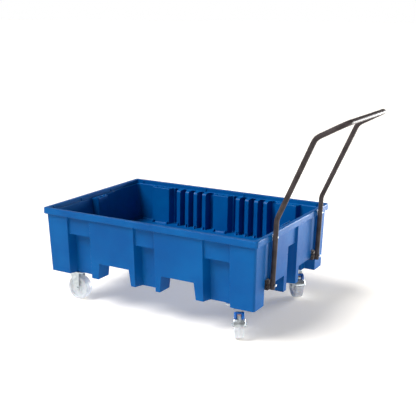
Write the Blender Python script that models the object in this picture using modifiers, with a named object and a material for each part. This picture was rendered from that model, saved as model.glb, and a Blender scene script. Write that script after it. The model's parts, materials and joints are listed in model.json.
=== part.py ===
"""Bunded drum dolly: a moulded polyethylene sump tub on two fixed and two braked swivel castors,
pushed by a bent tube handle bolted to its right end. Metres, +Z up; the floor is at z = 0 and the
origin is the centre of the overall length and width."""

import math

import bmesh
import bpy
from mathutils import Matrix, Vector

GAP = 0.0003  # between two pieces that touch

# ---- tub -----------------------------------------------------------------------------------------
TUB_LENGTH = 1.220
TUB_WIDTH = 0.820
RIM_BAND = 0.032  # depth of the turned-down rim
RIM_OVERHANG = 0.012  # rim edge beyond the wall under it
RIM_FACE = 0.020  # flat top of the rim
UPSTAND = 0.0215  # rim top down to the inner ledge
LEDGE = 0.011  # ledge width
DRAFT = 0.031  # outward lean of the walls, per unit of height
FOOT_DROP = 0.336  # rim top down to the underside of the feet
FLOOR_DROP = 0.228  # rim top down to the sump floor
UNDERSIDE_DROP = 0.252  # rim top down to the underside between the feet
WALL = 0.008
PANEL_STEP = 0.011  # the lintels and channels lie this far behind the wide panels
POCKET_DROP = 0.125  # rim top down to the pocket tops
POCKET_DEPTH = 0.046  # pocket back behind the wide panels
POCKET_TAPER = 0.012  # each pocket side narrows by this to the back
END_POCKET = 0.105  # width of the pocket in each end wall
CORNER_PANEL = 0.145  # rim corner to the first pocket of a long wall
SIDE_POCKET = 0.139  # width of the outer pockets of a long wall
MIDDLE_POCKET = 0.117  # width of the middle pocket of a long wall
SIDE_OPENING = 0.180  # fork opening in a long wall, at its top
SIDE_LEG = 0.0515  # leg between an outer pocket and the fork opening
OPENING_FLARE = 0.010  # each side of a fork opening moves out by this to its bottom
END_CORNER = 0.117  # rim corner to the channel and fork opening of an end wall
END_CHANNEL = 0.060  # width of the channel behind a handle tube
END_OPENING = 0.208  # fork opening in an end wall
FOOT_DEPTH = 0.110  # a foot reaches this far in from the rim edge
FIN_COUNT = 4
FIN_PITCH = 0.056
FIN_WIDTH = 0.025
FIN_START = 0.064  # outer pocket side to the right side of the first fin
FIN_SHOULDER = 0.016
BAY_COVE = 0.011

# ---- castors -------------------------------------------------------------------------------------
WHEEL_RADIUS = 0.0625
WHEEL_WIDTH = 0.045
CASTOR_HEAD = 0.0335  # top of the wheel to the underside of the foot
TREAD_ROUND = 0.007
HUB_RADIUS = 0.019
DISH = 0.007  # depth of the ring between hub and tread, each side
DISH_SLOPE = 0.004
RING = 0.014  # flat ring outside the dish
AXLE_RADIUS = 0.005
SLEEVE_WALL = 0.003
SIDE_PLAY = 0.0015  # wheel to fork leg
STEEL = 0.003
PLATE_LENGTH = 0.105
PLATE_SIDE_MARGIN = 0.0094  # bolt centre to the plate's long edge
PLATE_THICK = 0.004
PLATE_HOLES_LONG = 0.080
BOLT_TO_LEG = 0.0006  # bolt head to the fork leg beside it
PLATE_BOLT = 0.004  # shank radius
PLATE_BOLT_REACH = 0.012  # shank above the underside of the foot
PLATE_BOLT_HEAD = 0.0052
CASTOR_INSET_X = 0.139  # castor centre in from the rim edge
CASTOR_INSET_Y = 0.1025
PAD_MARGIN = 0.008  # castor pad beyond the plate
TRAIL = 0.036  # wheel axle behind the swivel axis
SWIVEL_AT_REST = {"front": -61.9, "back": -47.0}  # degrees that each trail points away from +X
FORK_TOP = 0.029  # half width of a fork leg at its top
FORK_SHIFT = 0.017  # a leg leans forward: the middle of its top is ahead of the axle by this
FORK_SHOULDER = 0.010  # upright edge of a leg under its top
FORK_EYE = 0.0125  # round end of a fork leg
SWIVEL_HEAD = 0.030  # radius of the ball race
RACE_HEIGHT = 0.008
KINGPIN = 0.007
KINGPIN_HEAD = 0.004
LEVER_THICK = 0.002
LEVER_PLAY = 0.003  # tread to the inside of the brake strap
LEVER_EYE = 0.011
STRAP_SPAN = (18.0, 42.0)  # degrees of the strap round the axle, up from level
PEDAL_SPAN = (45.0, 71.0)  # degrees of the pedal over the strap
PEDAL_WIDTH = 0.048
PEDAL_WALL = 0.0105
PEDAL_DEPTH = 0.018  # how far the pedal stands out from the strap
NUT_HEIGHT = 0.006
AXLE_PAST_NUT = 0.002

# ---- handle --------------------------------------------------------------------------------------
TUBE_RADIUS = 0.0125
TUBE_OFF_CHANNEL = 0.0055  # upright inwards of the middle of its channel
TUBE_FOOT_TUCK = 0.0095  # back of the tube inside the rim edge, at its foot
TUBE_FOOT_DROP = 0.262
TUBE_BEND_GAP = 0.0055  # rim edge to the back of the tube, at its first bend
TUBE_BEND_RISE = 0.068
TUBE_KNEE_OUT = 0.190
TUBE_KNEE_RISE = 0.447
GRIP_OUT = 0.324
GRIP_RISE = 0.5175
BEND_RADIUS = 0.060
GRIP_CORNER = 0.050
BEND_STEPS = 6
BRACKET_WIDTH = 0.038
BRACKET_THICK = 0.005
BRACKET_HEIGHT = 0.045
LEAN_PLAY = 0.001  # clearance of square ends to the leaning tube
HANDLE_BOLT = 0.004
HEX_ACROSS = 1.75  # radius of a hexagon over the radius of its shank
FOOT_BOLT_RISE = 0.020  # foot of the tube up to its bolt
HANDLE_BOLT_HEAD = 0.005
FOOT_BOLT_LENGTH = 0.060
RIM_BOLT_LENGTH = 0.048

# ---- derived -------------------------------------------------------------------------------------
RIM_HEIGHT = 2 * WHEEL_RADIUS + CASTOR_HEAD + FOOT_DROP  # rim top above the floor
HALF_LENGTH = TUB_LENGTH / 2
HALF_WIDTH = TUB_WIDTH / 2
BAND_BOTTOM = RIM_HEIGHT - RIM_BAND
FOOT_BOTTOM = RIM_HEIGHT - FOOT_DROP
LEDGE_Z = RIM_HEIGHT - UPSTAND
FLOOR_Z = RIM_HEIGHT - FLOOR_DROP
UNDERSIDE_Z = RIM_HEIGHT - UNDERSIDE_DROP
POCKET_TOP = RIM_HEIGHT - POCKET_DROP
PLATE_TOP = FOOT_BOTTOM - GAP
PLATE_BOTTOM = PLATE_TOP - PLATE_THICK
LEG_INSIDE = WHEEL_WIDTH / 2 + SIDE_PLAY
LEG_OUTSIDE = LEG_INSIDE + STEEL
LEVER_REACH = WHEEL_RADIUS + LEVER_PLAY  # axle to the inside of the brake strap
PLATE_HOLES = (PLATE_HOLES_LONG, 2 * (LEG_OUTSIDE + HEX_ACROSS * PLATE_BOLT + BOLT_TO_LEG))
PLATE_WIDTH = PLATE_HOLES[1] + 2 * PLATE_SIDE_MARGIN
TUBE_SPREAD = 2 * (HALF_WIDTH - END_CORNER - END_CHANNEL / 2 - TUBE_OFF_CHANNEL)
TUBE_FOOT_OUT = TUBE_RADIUS - TUBE_FOOT_TUCK  # tube centre outside the rim edge, at its foot
TUBE_BEND_OUT = TUBE_RADIUS + TUBE_BEND_GAP
PANEL_FACE = RIM_OVERHANG + POCKET_DEPTH + WALL  # inner panels and fins, in from the rim edge
TUB_CENTRE_X = -(GRIP_OUT + TUBE_RADIUS) / 2
RIM_BOLT_Z = LEDGE_Z + HEX_ACROSS * HANDLE_BOLT + LEAN_PLAY
FOOT_BOLT_Z = RIM_HEIGHT - TUBE_FOOT_DROP + FOOT_BOLT_RISE

BLUE_PLASTIC = ("blue_polyethylene", (0.004, 0.105, 0.40), 0.42, 0.0)
BLUE_PEDAL = ("blue_nylon", (0.006, 0.085, 0.42), 0.38, 0.0)
POWDER_COAT = ("anthracite_powder_coat", (0.085, 0.072, 0.070), 0.45, 0.0)
ZINC = ("zinc_plated_steel", (0.62, 0.65, 0.67), 0.32, 1.0)
NYLON = ("white_nylon", (0.82, 0.83, 0.84), 0.40, 0.0)


# ---- scene and object helpers ----------------------------------------------------------------------
def clear_scene():
    for item in list(bpy.data.objects):
        bpy.data.objects.remove(item, do_unlink=True)


def make_collection(name):
    found = bpy.data.collections.new(name)
    bpy.context.scene.collection.children.link(found)
    return found


def material(name, colour, roughness, metallic):
    """The Principled material of this name, made the first time it is asked for."""
    found = bpy.data.materials.get(name)
    if found is None:
        found = bpy.data.materials.new(name)
        found.use_nodes = True
        shader = found.node_tree.nodes["Principled BSDF"]
        shader.inputs["Base Color"].default_value = (*colour, 1.0)
        shader.inputs["Roughness"].default_value = roughness
        shader.inputs["Metallic"].default_value = metallic
    return found


def empty(name, place, parent=None, turn=0.0):
    """An axis or a centre that pieces hang from; turn is about Z, in degrees."""
    made = bpy.data.objects.new(name, None)
    made.location = place
    made.rotation_euler = (0.0, 0.0, math.radians(turn))
    made.parent = parent
    PARTS.objects.link(made)
    return made


def part(name, mesh, look, parent, place=(0.0, 0.0, 0.0), turn=0.0):
    """A piece of the dolly as its own object."""
    mesh.name = name
    mesh.materials.clear()
    mesh.materials.append(material(*look))
    mesh.shade_smooth()
    mesh.set_sharp_from_angle(angle=math.radians(35))
    made = bpy.data.objects.new(name, mesh)
    made.location = place
    made.rotation_euler = (0.0, 0.0, math.radians(turn))
    made.parent = parent
    PARTS.objects.link(made)
    return made


def cutter(name, mesh, parent=None):
    """A mesh that only shapes another piece."""
    made = bpy.data.objects.new(name, mesh)
    made.parent = parent
    made.hide_render = True
    made.display_type = "WIRE"
    CUTTERS.objects.link(made)
    return made


def boolean(target, other, operation="DIFFERENCE"):
    step = target.modifiers.new(other.name, "BOOLEAN")
    step.operation = operation
    step.object = other
    step.solver = "EXACT"


# ---- mesh helpers ----------------------------------------------------------------------------------
def mesh_of(bm):
    mesh = bpy.data.meshes.new("piece")
    bm.to_mesh(mesh)
    bm.free()
    return mesh


def evaluated_mesh(item):
    """The mesh of an object with its modifiers applied, or of a curve with its caps welded."""
    bpy.context.view_layer.update()
    graph = bpy.context.evaluated_depsgraph_get()
    mesh = bpy.data.meshes.new_from_object(item.evaluated_get(graph))
    bm = bmesh.new()
    bm.from_mesh(mesh)
    bpy.data.meshes.remove(mesh)
    bmesh.ops.remove_doubles(bm, verts=bm.verts, dist=1e-6)
    bmesh.ops.recalc_face_normals(bm, faces=bm.faces)
    return mesh_of(bm)


def add_block(bm, low, high):
    """A box between two corners."""
    size = Vector(high) - Vector(low)
    centre = (Vector(high) + Vector(low)) / 2
    place = Matrix.Translation(centre) @ Matrix.Diagonal((*size, 1.0))
    return bmesh.ops.create_cube(bm, size=1.0, matrix=place)["verts"]


def add_drafted_block(bm, half_x, half_y, bottom, top, lean):
    """A box whose four sides lean in by lean at its bottom; half sizes are at its top."""
    for vert in add_block(bm, (-half_x, -half_y, bottom), (half_x, half_y, top)):
        if vert.co.z < (bottom + top) / 2:
            vert.co.x -= math.copysign(lean, vert.co.x)
            vert.co.y -= math.copysign(lean, vert.co.y)


def add_cylinder(bm, radius, start, end, segments=16):
    """A cylinder between two points."""
    start, end = Vector(start), Vector(end)
    axis = end - start
    place = Matrix.Translation((start + end) / 2) @ axis.to_track_quat("Z", "Y").to_matrix().to_4x4()
    bmesh.ops.create_cone(bm, cap_ends=True, segments=segments, radius1=radius, radius2=radius,
                          depth=axis.length, matrix=place)


def block_mesh(low, high):
    bm = bmesh.new()
    add_block(bm, low, high)
    return mesh_of(bm)


def cylinder_mesh(radius, start, end, segments=16):
    bm = bmesh.new()
    add_cylinder(bm, radius, start, end, segments)
    return mesh_of(bm)


def arc(centre, radius, start, end, steps):
    """Points of a circular arc, angles in degrees."""
    turns = (math.radians(start + (end - start) * i / steps) for i in range(steps + 1))
    return [(centre[0] + radius * math.cos(a), centre[1] + radius * math.sin(a)) for a in turns]


def outline_mesh(points, thickness, place):
    """A flat outline given thickness about its own plane, then put in place."""
    curve = bpy.data.curves.new("outline", "CURVE")
    curve.dimensions = "2D"
    curve.fill_mode = "BOTH"
    curve.extrude = thickness / 2
    spline = curve.splines.new("POLY")
    spline.points.add(len(points) - 1)
    for point, (x, y) in zip(spline.points, points):
        point.co = (x, y, 0.0, 1.0)
    spline.use_cyclic_u = True
    holder = bpy.data.objects.new("outline", curve)
    bpy.context.scene.collection.objects.link(holder)
    mesh = evaluated_mesh(holder)
    bpy.data.objects.remove(holder)
    bpy.data.curves.remove(curve)
    mesh.transform(place)
    return mesh


def turned_mesh(profile, steps):
    """A closed profile of (radius, height), listed down its outer side, turned about Z."""
    bm = bmesh.new()
    ring = [bm.verts.new((radius, 0.0, height)) for radius, height in profile]
    for first, second in zip(ring, ring[1:] + ring[:1]):
        bm.edges.new((first, second))
    holder = bpy.data.objects.new("turned", mesh_of(bm))
    bpy.context.scene.collection.objects.link(holder)
    screw = holder.modifiers.new("turn", "SCREW")
    screw.steps = screw.render_steps = steps
    screw.use_merge_vertices = True
    screw.merge_threshold = 1e-5
    mesh = evaluated_mesh(holder)
    bpy.data.objects.remove(holder)
    return mesh


def joined(meshes, operation="UNION"):
    """The Boolean of the first mesh with each of the others."""
    holder = cutter("join_base", meshes[0])
    for index, mesh in enumerate(meshes[1:]):
        boolean(holder, cutter(f"join_{index}", mesh), operation)
    mesh = evaluated_mesh(holder)
    for item in [holder] + [step.object for step in holder.modifiers]:
        bpy.data.objects.remove(item)
    return mesh


ALONG_Y = Matrix.Rotation(math.radians(90), 4, "X")  # an outline's (x, y) become x and z
ALONG_X = Matrix.Rotation(math.radians(90), 4, "Z") @ ALONG_Y  # they become y and z


# ---- tub -----------------------------------------------------------------------------------------
def wall_frame(wall):
    """A matrix from (along, in from the rim edge, z) to the tub: along runs from the wall's middle."""
    turn = {"front": 0, "right": 90, "back": 180, "left": 270}[wall]
    out = HALF_LENGTH if wall in ("left", "right") else HALF_WIDTH
    return Matrix.Rotation(math.radians(turn), 4, "Z") @ Matrix.Translation((0.0, -out, 0.0))


def lean_at(z):
    """How far the drafted wall has come in at this height."""
    return (BAND_BOTTOM - z) * DRAFT


def add_recess(bm, wall, middle, width, taper, depth, top, bottom, flare=0.0, start=-0.05):
    """A block that reaches into a wall: width at the rim edge, less taper each side at its depth.
    depth is measured from the rim edge under the rim band, and follows the wall's lean."""
    frame = wall_frame(wall)
    low = (middle - width / 2, start, bottom)
    high = (middle + width / 2, depth, top)
    for vert in add_block(bm, low, high):
        side = math.copysign(1.0, vert.co.x - middle)
        if vert.co.y > (start + depth) / 2:
            vert.co.x -= side * taper
            vert.co.y += lean_at(vert.co.z)
        if vert.co.z < (top + bottom) / 2:
            vert.co.x += side * flare
        vert.co = frame @ vert.co


def side_pockets():
    """(middle, width) of the three pockets of a long wall."""
    outer = HALF_LENGTH - CORNER_PANEL - SIDE_POCKET / 2
    return [(-outer, SIDE_POCKET), (0.0, MIDDLE_POCKET), (outer, SIDE_POCKET)]


def side_opening():
    """Middle of the right fork opening of a long wall."""
    return HALF_LENGTH - CORNER_PANEL - SIDE_POCKET - SIDE_LEG - SIDE_OPENING / 2


def all_pockets():
    """(wall, middle, width) of every pocket."""
    long_walls = [(wall, middle, width) for wall in ("front", "back") for middle, width in side_pockets()]
    return long_walls + [(wall, 0.0, END_POCKET) for wall in ("left", "right")]


def tub_body():
    """The tub before anything is cut from it."""
    bm = bmesh.new()
    lean = lean_at(FOOT_BOTTOM) - lean_at(RIM_HEIGHT - RIM_BAND / 2)
    top_inset = RIM_OVERHANG + lean_at(RIM_HEIGHT - RIM_BAND / 2)
    add_drafted_block(bm, HALF_LENGTH - top_inset, HALF_WIDTH - top_inset, FOOT_BOTTOM,
                      RIM_HEIGHT - RIM_BAND / 2, lean)
    rim = block_mesh((-HALF_LENGTH, -HALF_WIDTH, BAND_BOTTOM), (HALF_LENGTH, HALF_WIDTH, RIM_HEIGHT))
    return joined([mesh_of(bm), rim])


def outside_cuts():
    """The pockets with the shallow lintels over them, and the channels behind the handle's uprights."""
    lintels = bmesh.new()
    pockets = bmesh.new()
    shallow = RIM_OVERHANG + PANEL_STEP
    for wall, middle, width in all_pockets():
        add_recess(lintels, wall, middle, width, 0.0, shallow, BAND_BOTTOM, FOOT_BOTTOM - 0.02)
        add_recess(pockets, wall, middle, width, POCKET_TAPER, RIM_OVERHANG + POCKET_DEPTH,
                   POCKET_TOP, FOOT_BOTTOM - 0.02, start=-0.04)
    channel = HALF_WIDTH - END_CORNER - END_CHANNEL / 2
    for wall in ("left", "right"):
        for middle in (-channel, channel):
            add_recess(lintels, wall, middle, END_CHANNEL, 0.0, shallow, BAND_BOTTOM, FOOT_BOTTOM - 0.02)
    return mesh_of(lintels), mesh_of(pockets)


def underside_cuts():
    """The fork tunnels and the hollow between the feet."""
    tunnels = bmesh.new()
    for middle in (-side_opening(), side_opening()):
        add_recess(tunnels, "front", middle, SIDE_OPENING, 0.0, TUB_WIDTH + 0.05, UNDERSIDE_Z,
                   FOOT_BOTTOM - 0.03, flare=OPENING_FLARE)
    crossing = bmesh.new()
    end_opening = HALF_WIDTH - END_CORNER - END_OPENING / 2
    for middle in (-end_opening, end_opening):
        add_recess(crossing, "right", middle, END_OPENING, 0.0, TUB_LENGTH + 0.05, UNDERSIDE_Z,
                   FOOT_BOTTOM - 0.025)
    hollow = block_mesh((FOOT_DEPTH - HALF_LENGTH, FOOT_DEPTH - HALF_WIDTH, FOOT_BOTTOM - 0.02),
                        (HALF_LENGTH - FOOT_DEPTH, HALF_WIDTH - FOOT_DEPTH, UNDERSIDE_Z))
    return mesh_of(tunnels), mesh_of(crossing), hollow


def bay_outline():
    """Section of the space between two inner panels: in from the rim edge, then height."""
    outside = RIM_OVERHANG + WALL
    top = LEDGE_Z - 2 * GAP
    cove = arc((outside + BAY_COVE, top - BAY_COVE), BAY_COVE, 90, 180, 3)
    return [(HALF_WIDTH / 2, top)] + cove + [
        (outside + lean_at(FLOOR_Z), FLOOR_Z + GAP),
        (HALF_WIDTH / 2, FLOOR_Z + GAP),
    ]


def fin_outline():
    """Section of a fin: from inside the wall to its rounded front shoulder."""
    root = RIM_OVERHANG + WALL / 2
    top = LEDGE_Z - 4 * GAP
    shoulder = arc((PANEL_FACE - FIN_SHOULDER, top - FIN_SHOULDER), FIN_SHOULDER, 90, 0, 4)
    return [(root, top)] + shoulder + [
        (PANEL_FACE + lean_at(FLOOR_Z), FLOOR_Z - 0.01),
        (root, FLOOR_Z - 0.01),
    ]


def bay_spans():
    """(start, end) along a long wall of the two bays between its inner panels."""
    outer = HALF_LENGTH - CORNER_PANEL - SIDE_POCKET - WALL
    inner = MIDDLE_POCKET / 2 + WALL
    return [(-outer, -inner), (inner, outer)]


def fin_middles():
    outer = HALF_LENGTH - CORNER_PANEL - SIDE_POCKET
    first = outer - FIN_START + FIN_WIDTH / 2
    return [side * (first - i * FIN_PITCH) for side in (-1, 1) for i in range(FIN_COUNT)]


def cavity():
    """Everything that is taken out of the inside of the tub."""
    bm = bmesh.new()
    ledge_inset = RIM_FACE + LEDGE
    add_drafted_block(bm, HALF_LENGTH - ledge_inset, HALF_WIDTH - ledge_inset, FLOOR_Z,
                      LEDGE_Z + 0.001, lean_at(FLOOR_Z))
    mouth = block_mesh((RIM_FACE - HALF_LENGTH, RIM_FACE - HALF_WIDTH, LEDGE_Z),
                       (HALF_LENGTH - RIM_FACE, HALF_WIDTH - RIM_FACE, RIM_HEIGHT + 0.02))
    spaces = [mesh_of(bm), mouth]
    for wall in ("front", "back"):
        for start, end in bay_spans():
            place = wall_frame(wall) @ Matrix.Translation(((start + end) / 2, 0, 0)) @ ALONG_X
            spaces.append(outline_mesh(bay_outline(), end - start, place))
    space = joined(spaces)
    fins = []
    for wall in ("front", "back"):
        for middle in fin_middles():
            place = wall_frame(wall) @ Matrix.Translation((middle, 0, 0)) @ ALONG_X
            fins.append(outline_mesh(fin_outline(), FIN_WIDTH, place))
    panels = bmesh.new()
    for wall, middle, width in all_pockets():
        add_recess(panels, wall, middle, width, POCKET_TAPER, PANEL_FACE, LEDGE_Z - 0.002,
                   FLOOR_Z - 0.01, start=RIM_OVERHANG)
    return joined([space, mesh_of(panels)] + fins, "DIFFERENCE")


def castor_pads():
    """Thickened floor over each castor plate."""
    bm = bmesh.new()
    half_x = PLATE_LENGTH / 2 + PAD_MARGIN
    half_y = PLATE_WIDTH / 2 + PAD_MARGIN
    for x, y in castor_places():
        outer_y = HALF_WIDTH - RIM_OVERHANG - POCKET_DEPTH - lean_at(FOOT_BOTTOM) - GAP
        near, far = sorted((math.copysign(outer_y, y), y - math.copysign(half_y, y)))
        add_block(bm, (x - half_x, near, FOOT_BOTTOM), (x + half_x, far, UNDERSIDE_Z + 0.005))
    return mesh_of(bm)


def castor_places():
    x, y = HALF_LENGTH - CASTOR_INSET_X, HALF_WIDTH - CASTOR_INSET_Y
    return [(-x, -y), (-x, y), (x, -y), (x, y)]


def plate_hole_places():
    return [(sx * PLATE_HOLES[0] / 2, sy * PLATE_HOLES[1] / 2) for sx in (-1, 1) for sy in (-1, 1)]


def bolt_holes():
    """Blind holes for the castor bolts and the holes for the handle bolts."""
    bm = bmesh.new()
    for x, y in castor_places():
        for dx, dy in plate_hole_places():
            add_cylinder(bm, PLATE_BOLT + GAP, (x + dx, y + dy, FOOT_BOTTOM - 0.01),
                         (x + dx, y + dy, FOOT_BOTTOM + PLATE_BOLT_REACH + GAP), 12)
    for y in upright_places():
        for height in (RIM_BOLT_Z, FOOT_BOLT_Z):
            add_cylinder(bm, HANDLE_BOLT + GAP, (HALF_LENGTH - 0.08, y, height),
                         (HALF_LENGTH + 0.02, y, height), 12)
    return mesh_of(bm)


def make_tub():
    tub = part("sump_tub", tub_body(), BLUE_PLASTIC, CENTRE)
    lintels, pockets = outside_cuts()
    tunnels, crossing, hollow = underside_cuts()
    for name, mesh in (("lintels", lintels), ("pockets", pockets), ("tunnels", tunnels),
                       ("crossing", crossing), ("hollow", hollow)):
        boolean(tub, cutter(name, mesh, CENTRE))
    boolean(tub, cutter("castor_pads", castor_pads(), CENTRE), "UNION")
    boolean(tub, cutter("cavity", cavity(), CENTRE))
    boolean(tub, cutter("bolt_holes", bolt_holes(), CENTRE))


# ---- handle --------------------------------------------------------------------------------------
def upright_places():
    return (-TUBE_SPREAD / 2, TUBE_SPREAD / 2)


def rounded(points, radii):
    """The route through points, with each inner corner replaced by an arc of its radius."""
    route = [points[0]]
    for before, corner, after, radius in zip(points, points[1:], points[2:], radii):
        back, ahead = (before - corner).normalized(), (after - corner).normalized()
        half = back.angle(ahead) / 2
        centre = corner + (back + ahead).normalized() * (radius / math.sin(half))
        start = corner + back * (radius / math.tan(half)) - centre
        end = corner + ahead * (radius / math.tan(half)) - centre
        route += [centre + start.slerp(end, i / BEND_STEPS).normalized() * radius
                  for i in range(BEND_STEPS + 1)]
    return route + [points[-1]]


def tube_route():
    """Centre line of the handle, from one foot up, across the grip and down to the other."""
    profile = [(TUBE_FOOT_OUT, -TUBE_FOOT_DROP), (TUBE_BEND_OUT, TUBE_BEND_RISE),
               (TUBE_KNEE_OUT, TUBE_KNEE_RISE), (GRIP_OUT, GRIP_RISE)]
    side = [Vector((HALF_LENGTH + out, -TUBE_SPREAD / 2, RIM_HEIGHT + rise)) for out, rise in profile]
    other = [Vector((p.x, -p.y, p.z)) for p in reversed(side)]
    bends = [BEND_RADIUS, BEND_RADIUS, GRIP_CORNER]
    return rounded(side + other, bends + bends[::-1])


def tube_out_at(height):
    """Tube centre outside the rim edge, on the straight foot of an upright."""
    share = (height - RIM_HEIGHT + TUBE_FOOT_DROP) / (TUBE_FOOT_DROP + TUBE_BEND_RISE)
    return TUBE_FOOT_OUT + (TUBE_BEND_OUT - TUBE_FOOT_OUT) * share


def make_handle():
    curve = bpy.data.curves.new("tube", "CURVE")
    curve.dimensions = "3D"
    curve.bevel_depth = TUBE_RADIUS
    curve.bevel_resolution = 2
    curve.use_fill_caps = True
    route = tube_route()
    spline = curve.splines.new("POLY")
    spline.points.add(len(route) - 1)
    for point, place in zip(spline.points, route):
        point.co = (*place, 1.0)
    holder = bpy.data.objects.new("tube", curve)
    bpy.context.scene.collection.objects.link(holder)
    tube = part("push_handle", evaluated_mesh(holder), POWDER_COAT, CENTRE)
    bpy.data.objects.remove(holder)
    holes = bmesh.new()
    for y in upright_places():
        for height in (RIM_BOLT_Z, FOOT_BOLT_Z):
            add_cylinder(holes, HANDLE_BOLT + GAP, (HALF_LENGTH - 0.03, y, height),
                         (HALF_LENGTH + 0.06, y, height), 12)
    boolean(tube, cutter("tube_holes", mesh_of(holes), CENTRE))
    for side, y in zip(("front", "back"), upright_places()):
        make_handle_fixings(side, y)


def hex_bolt(shank_radius, seat, length, head, away):
    """A bolt along X: its head's underside is at seat, its shank runs from there by length."""
    bm = bmesh.new()
    add_cylinder(bm, shank_radius * HEX_ACROSS, seat, (seat[0] + away * head, seat[1], seat[2]), 6)
    first = mesh_of(bm)
    shank = cylinder_mesh(shank_radius, (seat[0] + away * head / 2, seat[1], seat[2]),
                          (seat[0] - away * length, seat[1], seat[2]), 12)
    return joined([first, shank])


def make_handle_fixings(side, y):
    """The foot bracket in the channel, the bolt through foot and bracket, and the bolt through the rim."""
    channel_face = HALF_LENGTH - RIM_OVERHANG - PANEL_STEP
    back_at = channel_face - lean_at(FOOT_BOLT_Z) + GAP + LEAN_PLAY
    front_at = HALF_LENGTH + tube_out_at(FOOT_BOLT_Z) - TUBE_RADIUS - 2 * LEAN_PLAY
    low, high = FOOT_BOLT_Z - BRACKET_HEIGHT / 2, FOOT_BOLT_Z + BRACKET_HEIGHT / 2
    inner_back, inner_front = back_at + BRACKET_THICK, front_at - BRACKET_THICK
    outline = [(back_at, low), (front_at, low), (front_at, high), (inner_front, high),
               (inner_front, low + BRACKET_THICK), (inner_back, low + BRACKET_THICK),
               (inner_back, high), (back_at, high)]
    channel = outline_mesh(outline, BRACKET_WIDTH, Matrix.Translation((0.0, y, 0.0)) @ ALONG_Y)
    hole = cylinder_mesh(HANDLE_BOLT + GAP, (back_at - 0.02, y, FOOT_BOLT_Z),
                         (front_at + 0.02, y, FOOT_BOLT_Z), 12)
    bracket = joined([channel, hole], "DIFFERENCE")
    part(f"handle_foot_bracket_{side}", bracket, POWDER_COAT, CENTRE)
    seat = HALF_LENGTH + tube_out_at(FOOT_BOLT_Z) + TUBE_RADIUS + GAP
    bolt = hex_bolt(HANDLE_BOLT, (seat, y, FOOT_BOLT_Z), FOOT_BOLT_LENGTH, HANDLE_BOLT_HEAD, 1)
    part(f"handle_foot_bolt_{side}", bolt, ZINC, CENTRE)
    seat = HALF_LENGTH - RIM_FACE - GAP
    bolt = hex_bolt(HANDLE_BOLT, (seat, y, RIM_BOLT_Z), RIM_BOLT_LENGTH, HANDLE_BOLT_HEAD, -1)
    part(f"handle_rim_bolt_{side}", bolt, ZINC, CENTRE)


# ---- castors -------------------------------------------------------------------------------------
def wheel_mesh():
    """A nylon wheel about its own axis: crowned tread, dished sides, hub with a bore."""
    half = WHEEL_WIDTH / 2
    bore = AXLE_RADIUS + SLEEVE_WALL + 2 * GAP
    tread = arc((WHEEL_RADIUS - TREAD_ROUND, half - TREAD_ROUND), TREAD_ROUND, 90, 0, 3)
    dish = [(HUB_RADIUS, half), (HUB_RADIUS + DISH_SLOPE, half - DISH),
            (WHEEL_RADIUS - RING - DISH_SLOPE, half - DISH), (WHEEL_RADIUS - RING, half)]
    upper = [(bore, half)] + dish + tread
    lower = [(radius, -height) for radius, height in reversed(upper)]
    mesh = turned_mesh(upper + lower, 32)
    mesh.transform(Matrix.Rotation(math.radians(90), 4, "X"))
    return mesh


def sleeve_mesh():
    inner, outer = AXLE_RADIUS + GAP, AXLE_RADIUS + SLEEVE_WALL + GAP
    half = LEG_INSIDE - GAP
    mesh = turned_mesh([(inner, half), (outer, half), (outer, -half), (inner, -half)], 16)
    mesh.transform(Matrix.Rotation(math.radians(90), 4, "X"))
    return mesh


def leg_outline(top):
    """Side view of a fork leg about its axle: wide at its top, round at the axle."""
    back, front = -FORK_TOP - FORK_SHIFT, FORK_TOP - FORK_SHIFT
    shoulder = top - FORK_SHOULDER
    eye = arc((0.0, 0.0), FORK_EYE, 200, 360, 7)
    return [(back, top), (back, shoulder)] + eye + [(front, shoulder), (front, top)]


def fork_legs(axle_x, top):
    """Two legs with the axle's holes through them."""
    legs = []
    for side in (-1, 1):
        place = Matrix.Translation((axle_x, side * (LEG_INSIDE + STEEL / 2), WHEEL_RADIUS)) @ ALONG_Y
        legs.append(outline_mesh(leg_outline(top - WHEEL_RADIUS), STEEL, place))
    return legs


def axle_hole(axle_x):
    return cylinder_mesh(AXLE_RADIUS + GAP, (axle_x, -0.05, WHEEL_RADIUS), (axle_x, 0.05, WHEEL_RADIUS), 16)


def mount_plate(top, bottom):
    half_x, half_y = PLATE_LENGTH / 2, PLATE_WIDTH / 2
    plate = block_mesh((-half_x, -half_y, bottom), (half_x, half_y, top))
    holes = bmesh.new()
    for x, y in plate_hole_places():
        add_cylinder(holes, PLATE_BOLT + GAP, (x, y, bottom - 0.01), (x, y, top + 0.01), 12)
    return joined([plate, mesh_of(holes)], "DIFFERENCE")


def plate_bolt_mesh():
    """A hexagon bolt that points up, its head under the plate."""
    under = PLATE_BOTTOM - GAP
    head = cylinder_mesh(PLATE_BOLT * HEX_ACROSS, (0, 0, under - PLATE_BOLT_HEAD), (0, 0, under), 6)
    shank_low = under - PLATE_BOLT_HEAD / 2
    shank = cylinder_mesh(PLATE_BOLT, (0, 0, shank_low), (0, 0, FOOT_BOTTOM + PLATE_BOLT_REACH), 12)
    return joined([head, shank])


def axle_bolt_mesh(out):
    """A bolt along Y whose head bears on the -Y side at out, and reaches past the nut."""
    head = cylinder_mesh(AXLE_RADIUS * HEX_ACROSS, (0, -out - NUT_HEIGHT, 0), (0, -out - GAP, 0), 6)
    shank_end = out + NUT_HEIGHT + AXLE_PAST_NUT
    shank = cylinder_mesh(AXLE_RADIUS, (0, -out - NUT_HEIGHT / 2, 0), (0, shank_end, 0), 16)
    return joined([head, shank])


def axle_nut_mesh(out):
    nut = cylinder_mesh(AXLE_RADIUS * HEX_ACROSS, (0, out + GAP, 0), (0, out + NUT_HEIGHT, 0), 6)
    bore = cylinder_mesh(AXLE_RADIUS + GAP, (0, out - 0.01, 0), (0, out + 0.02, 0), 16)
    return joined([nut, bore], "DIFFERENCE")


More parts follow.
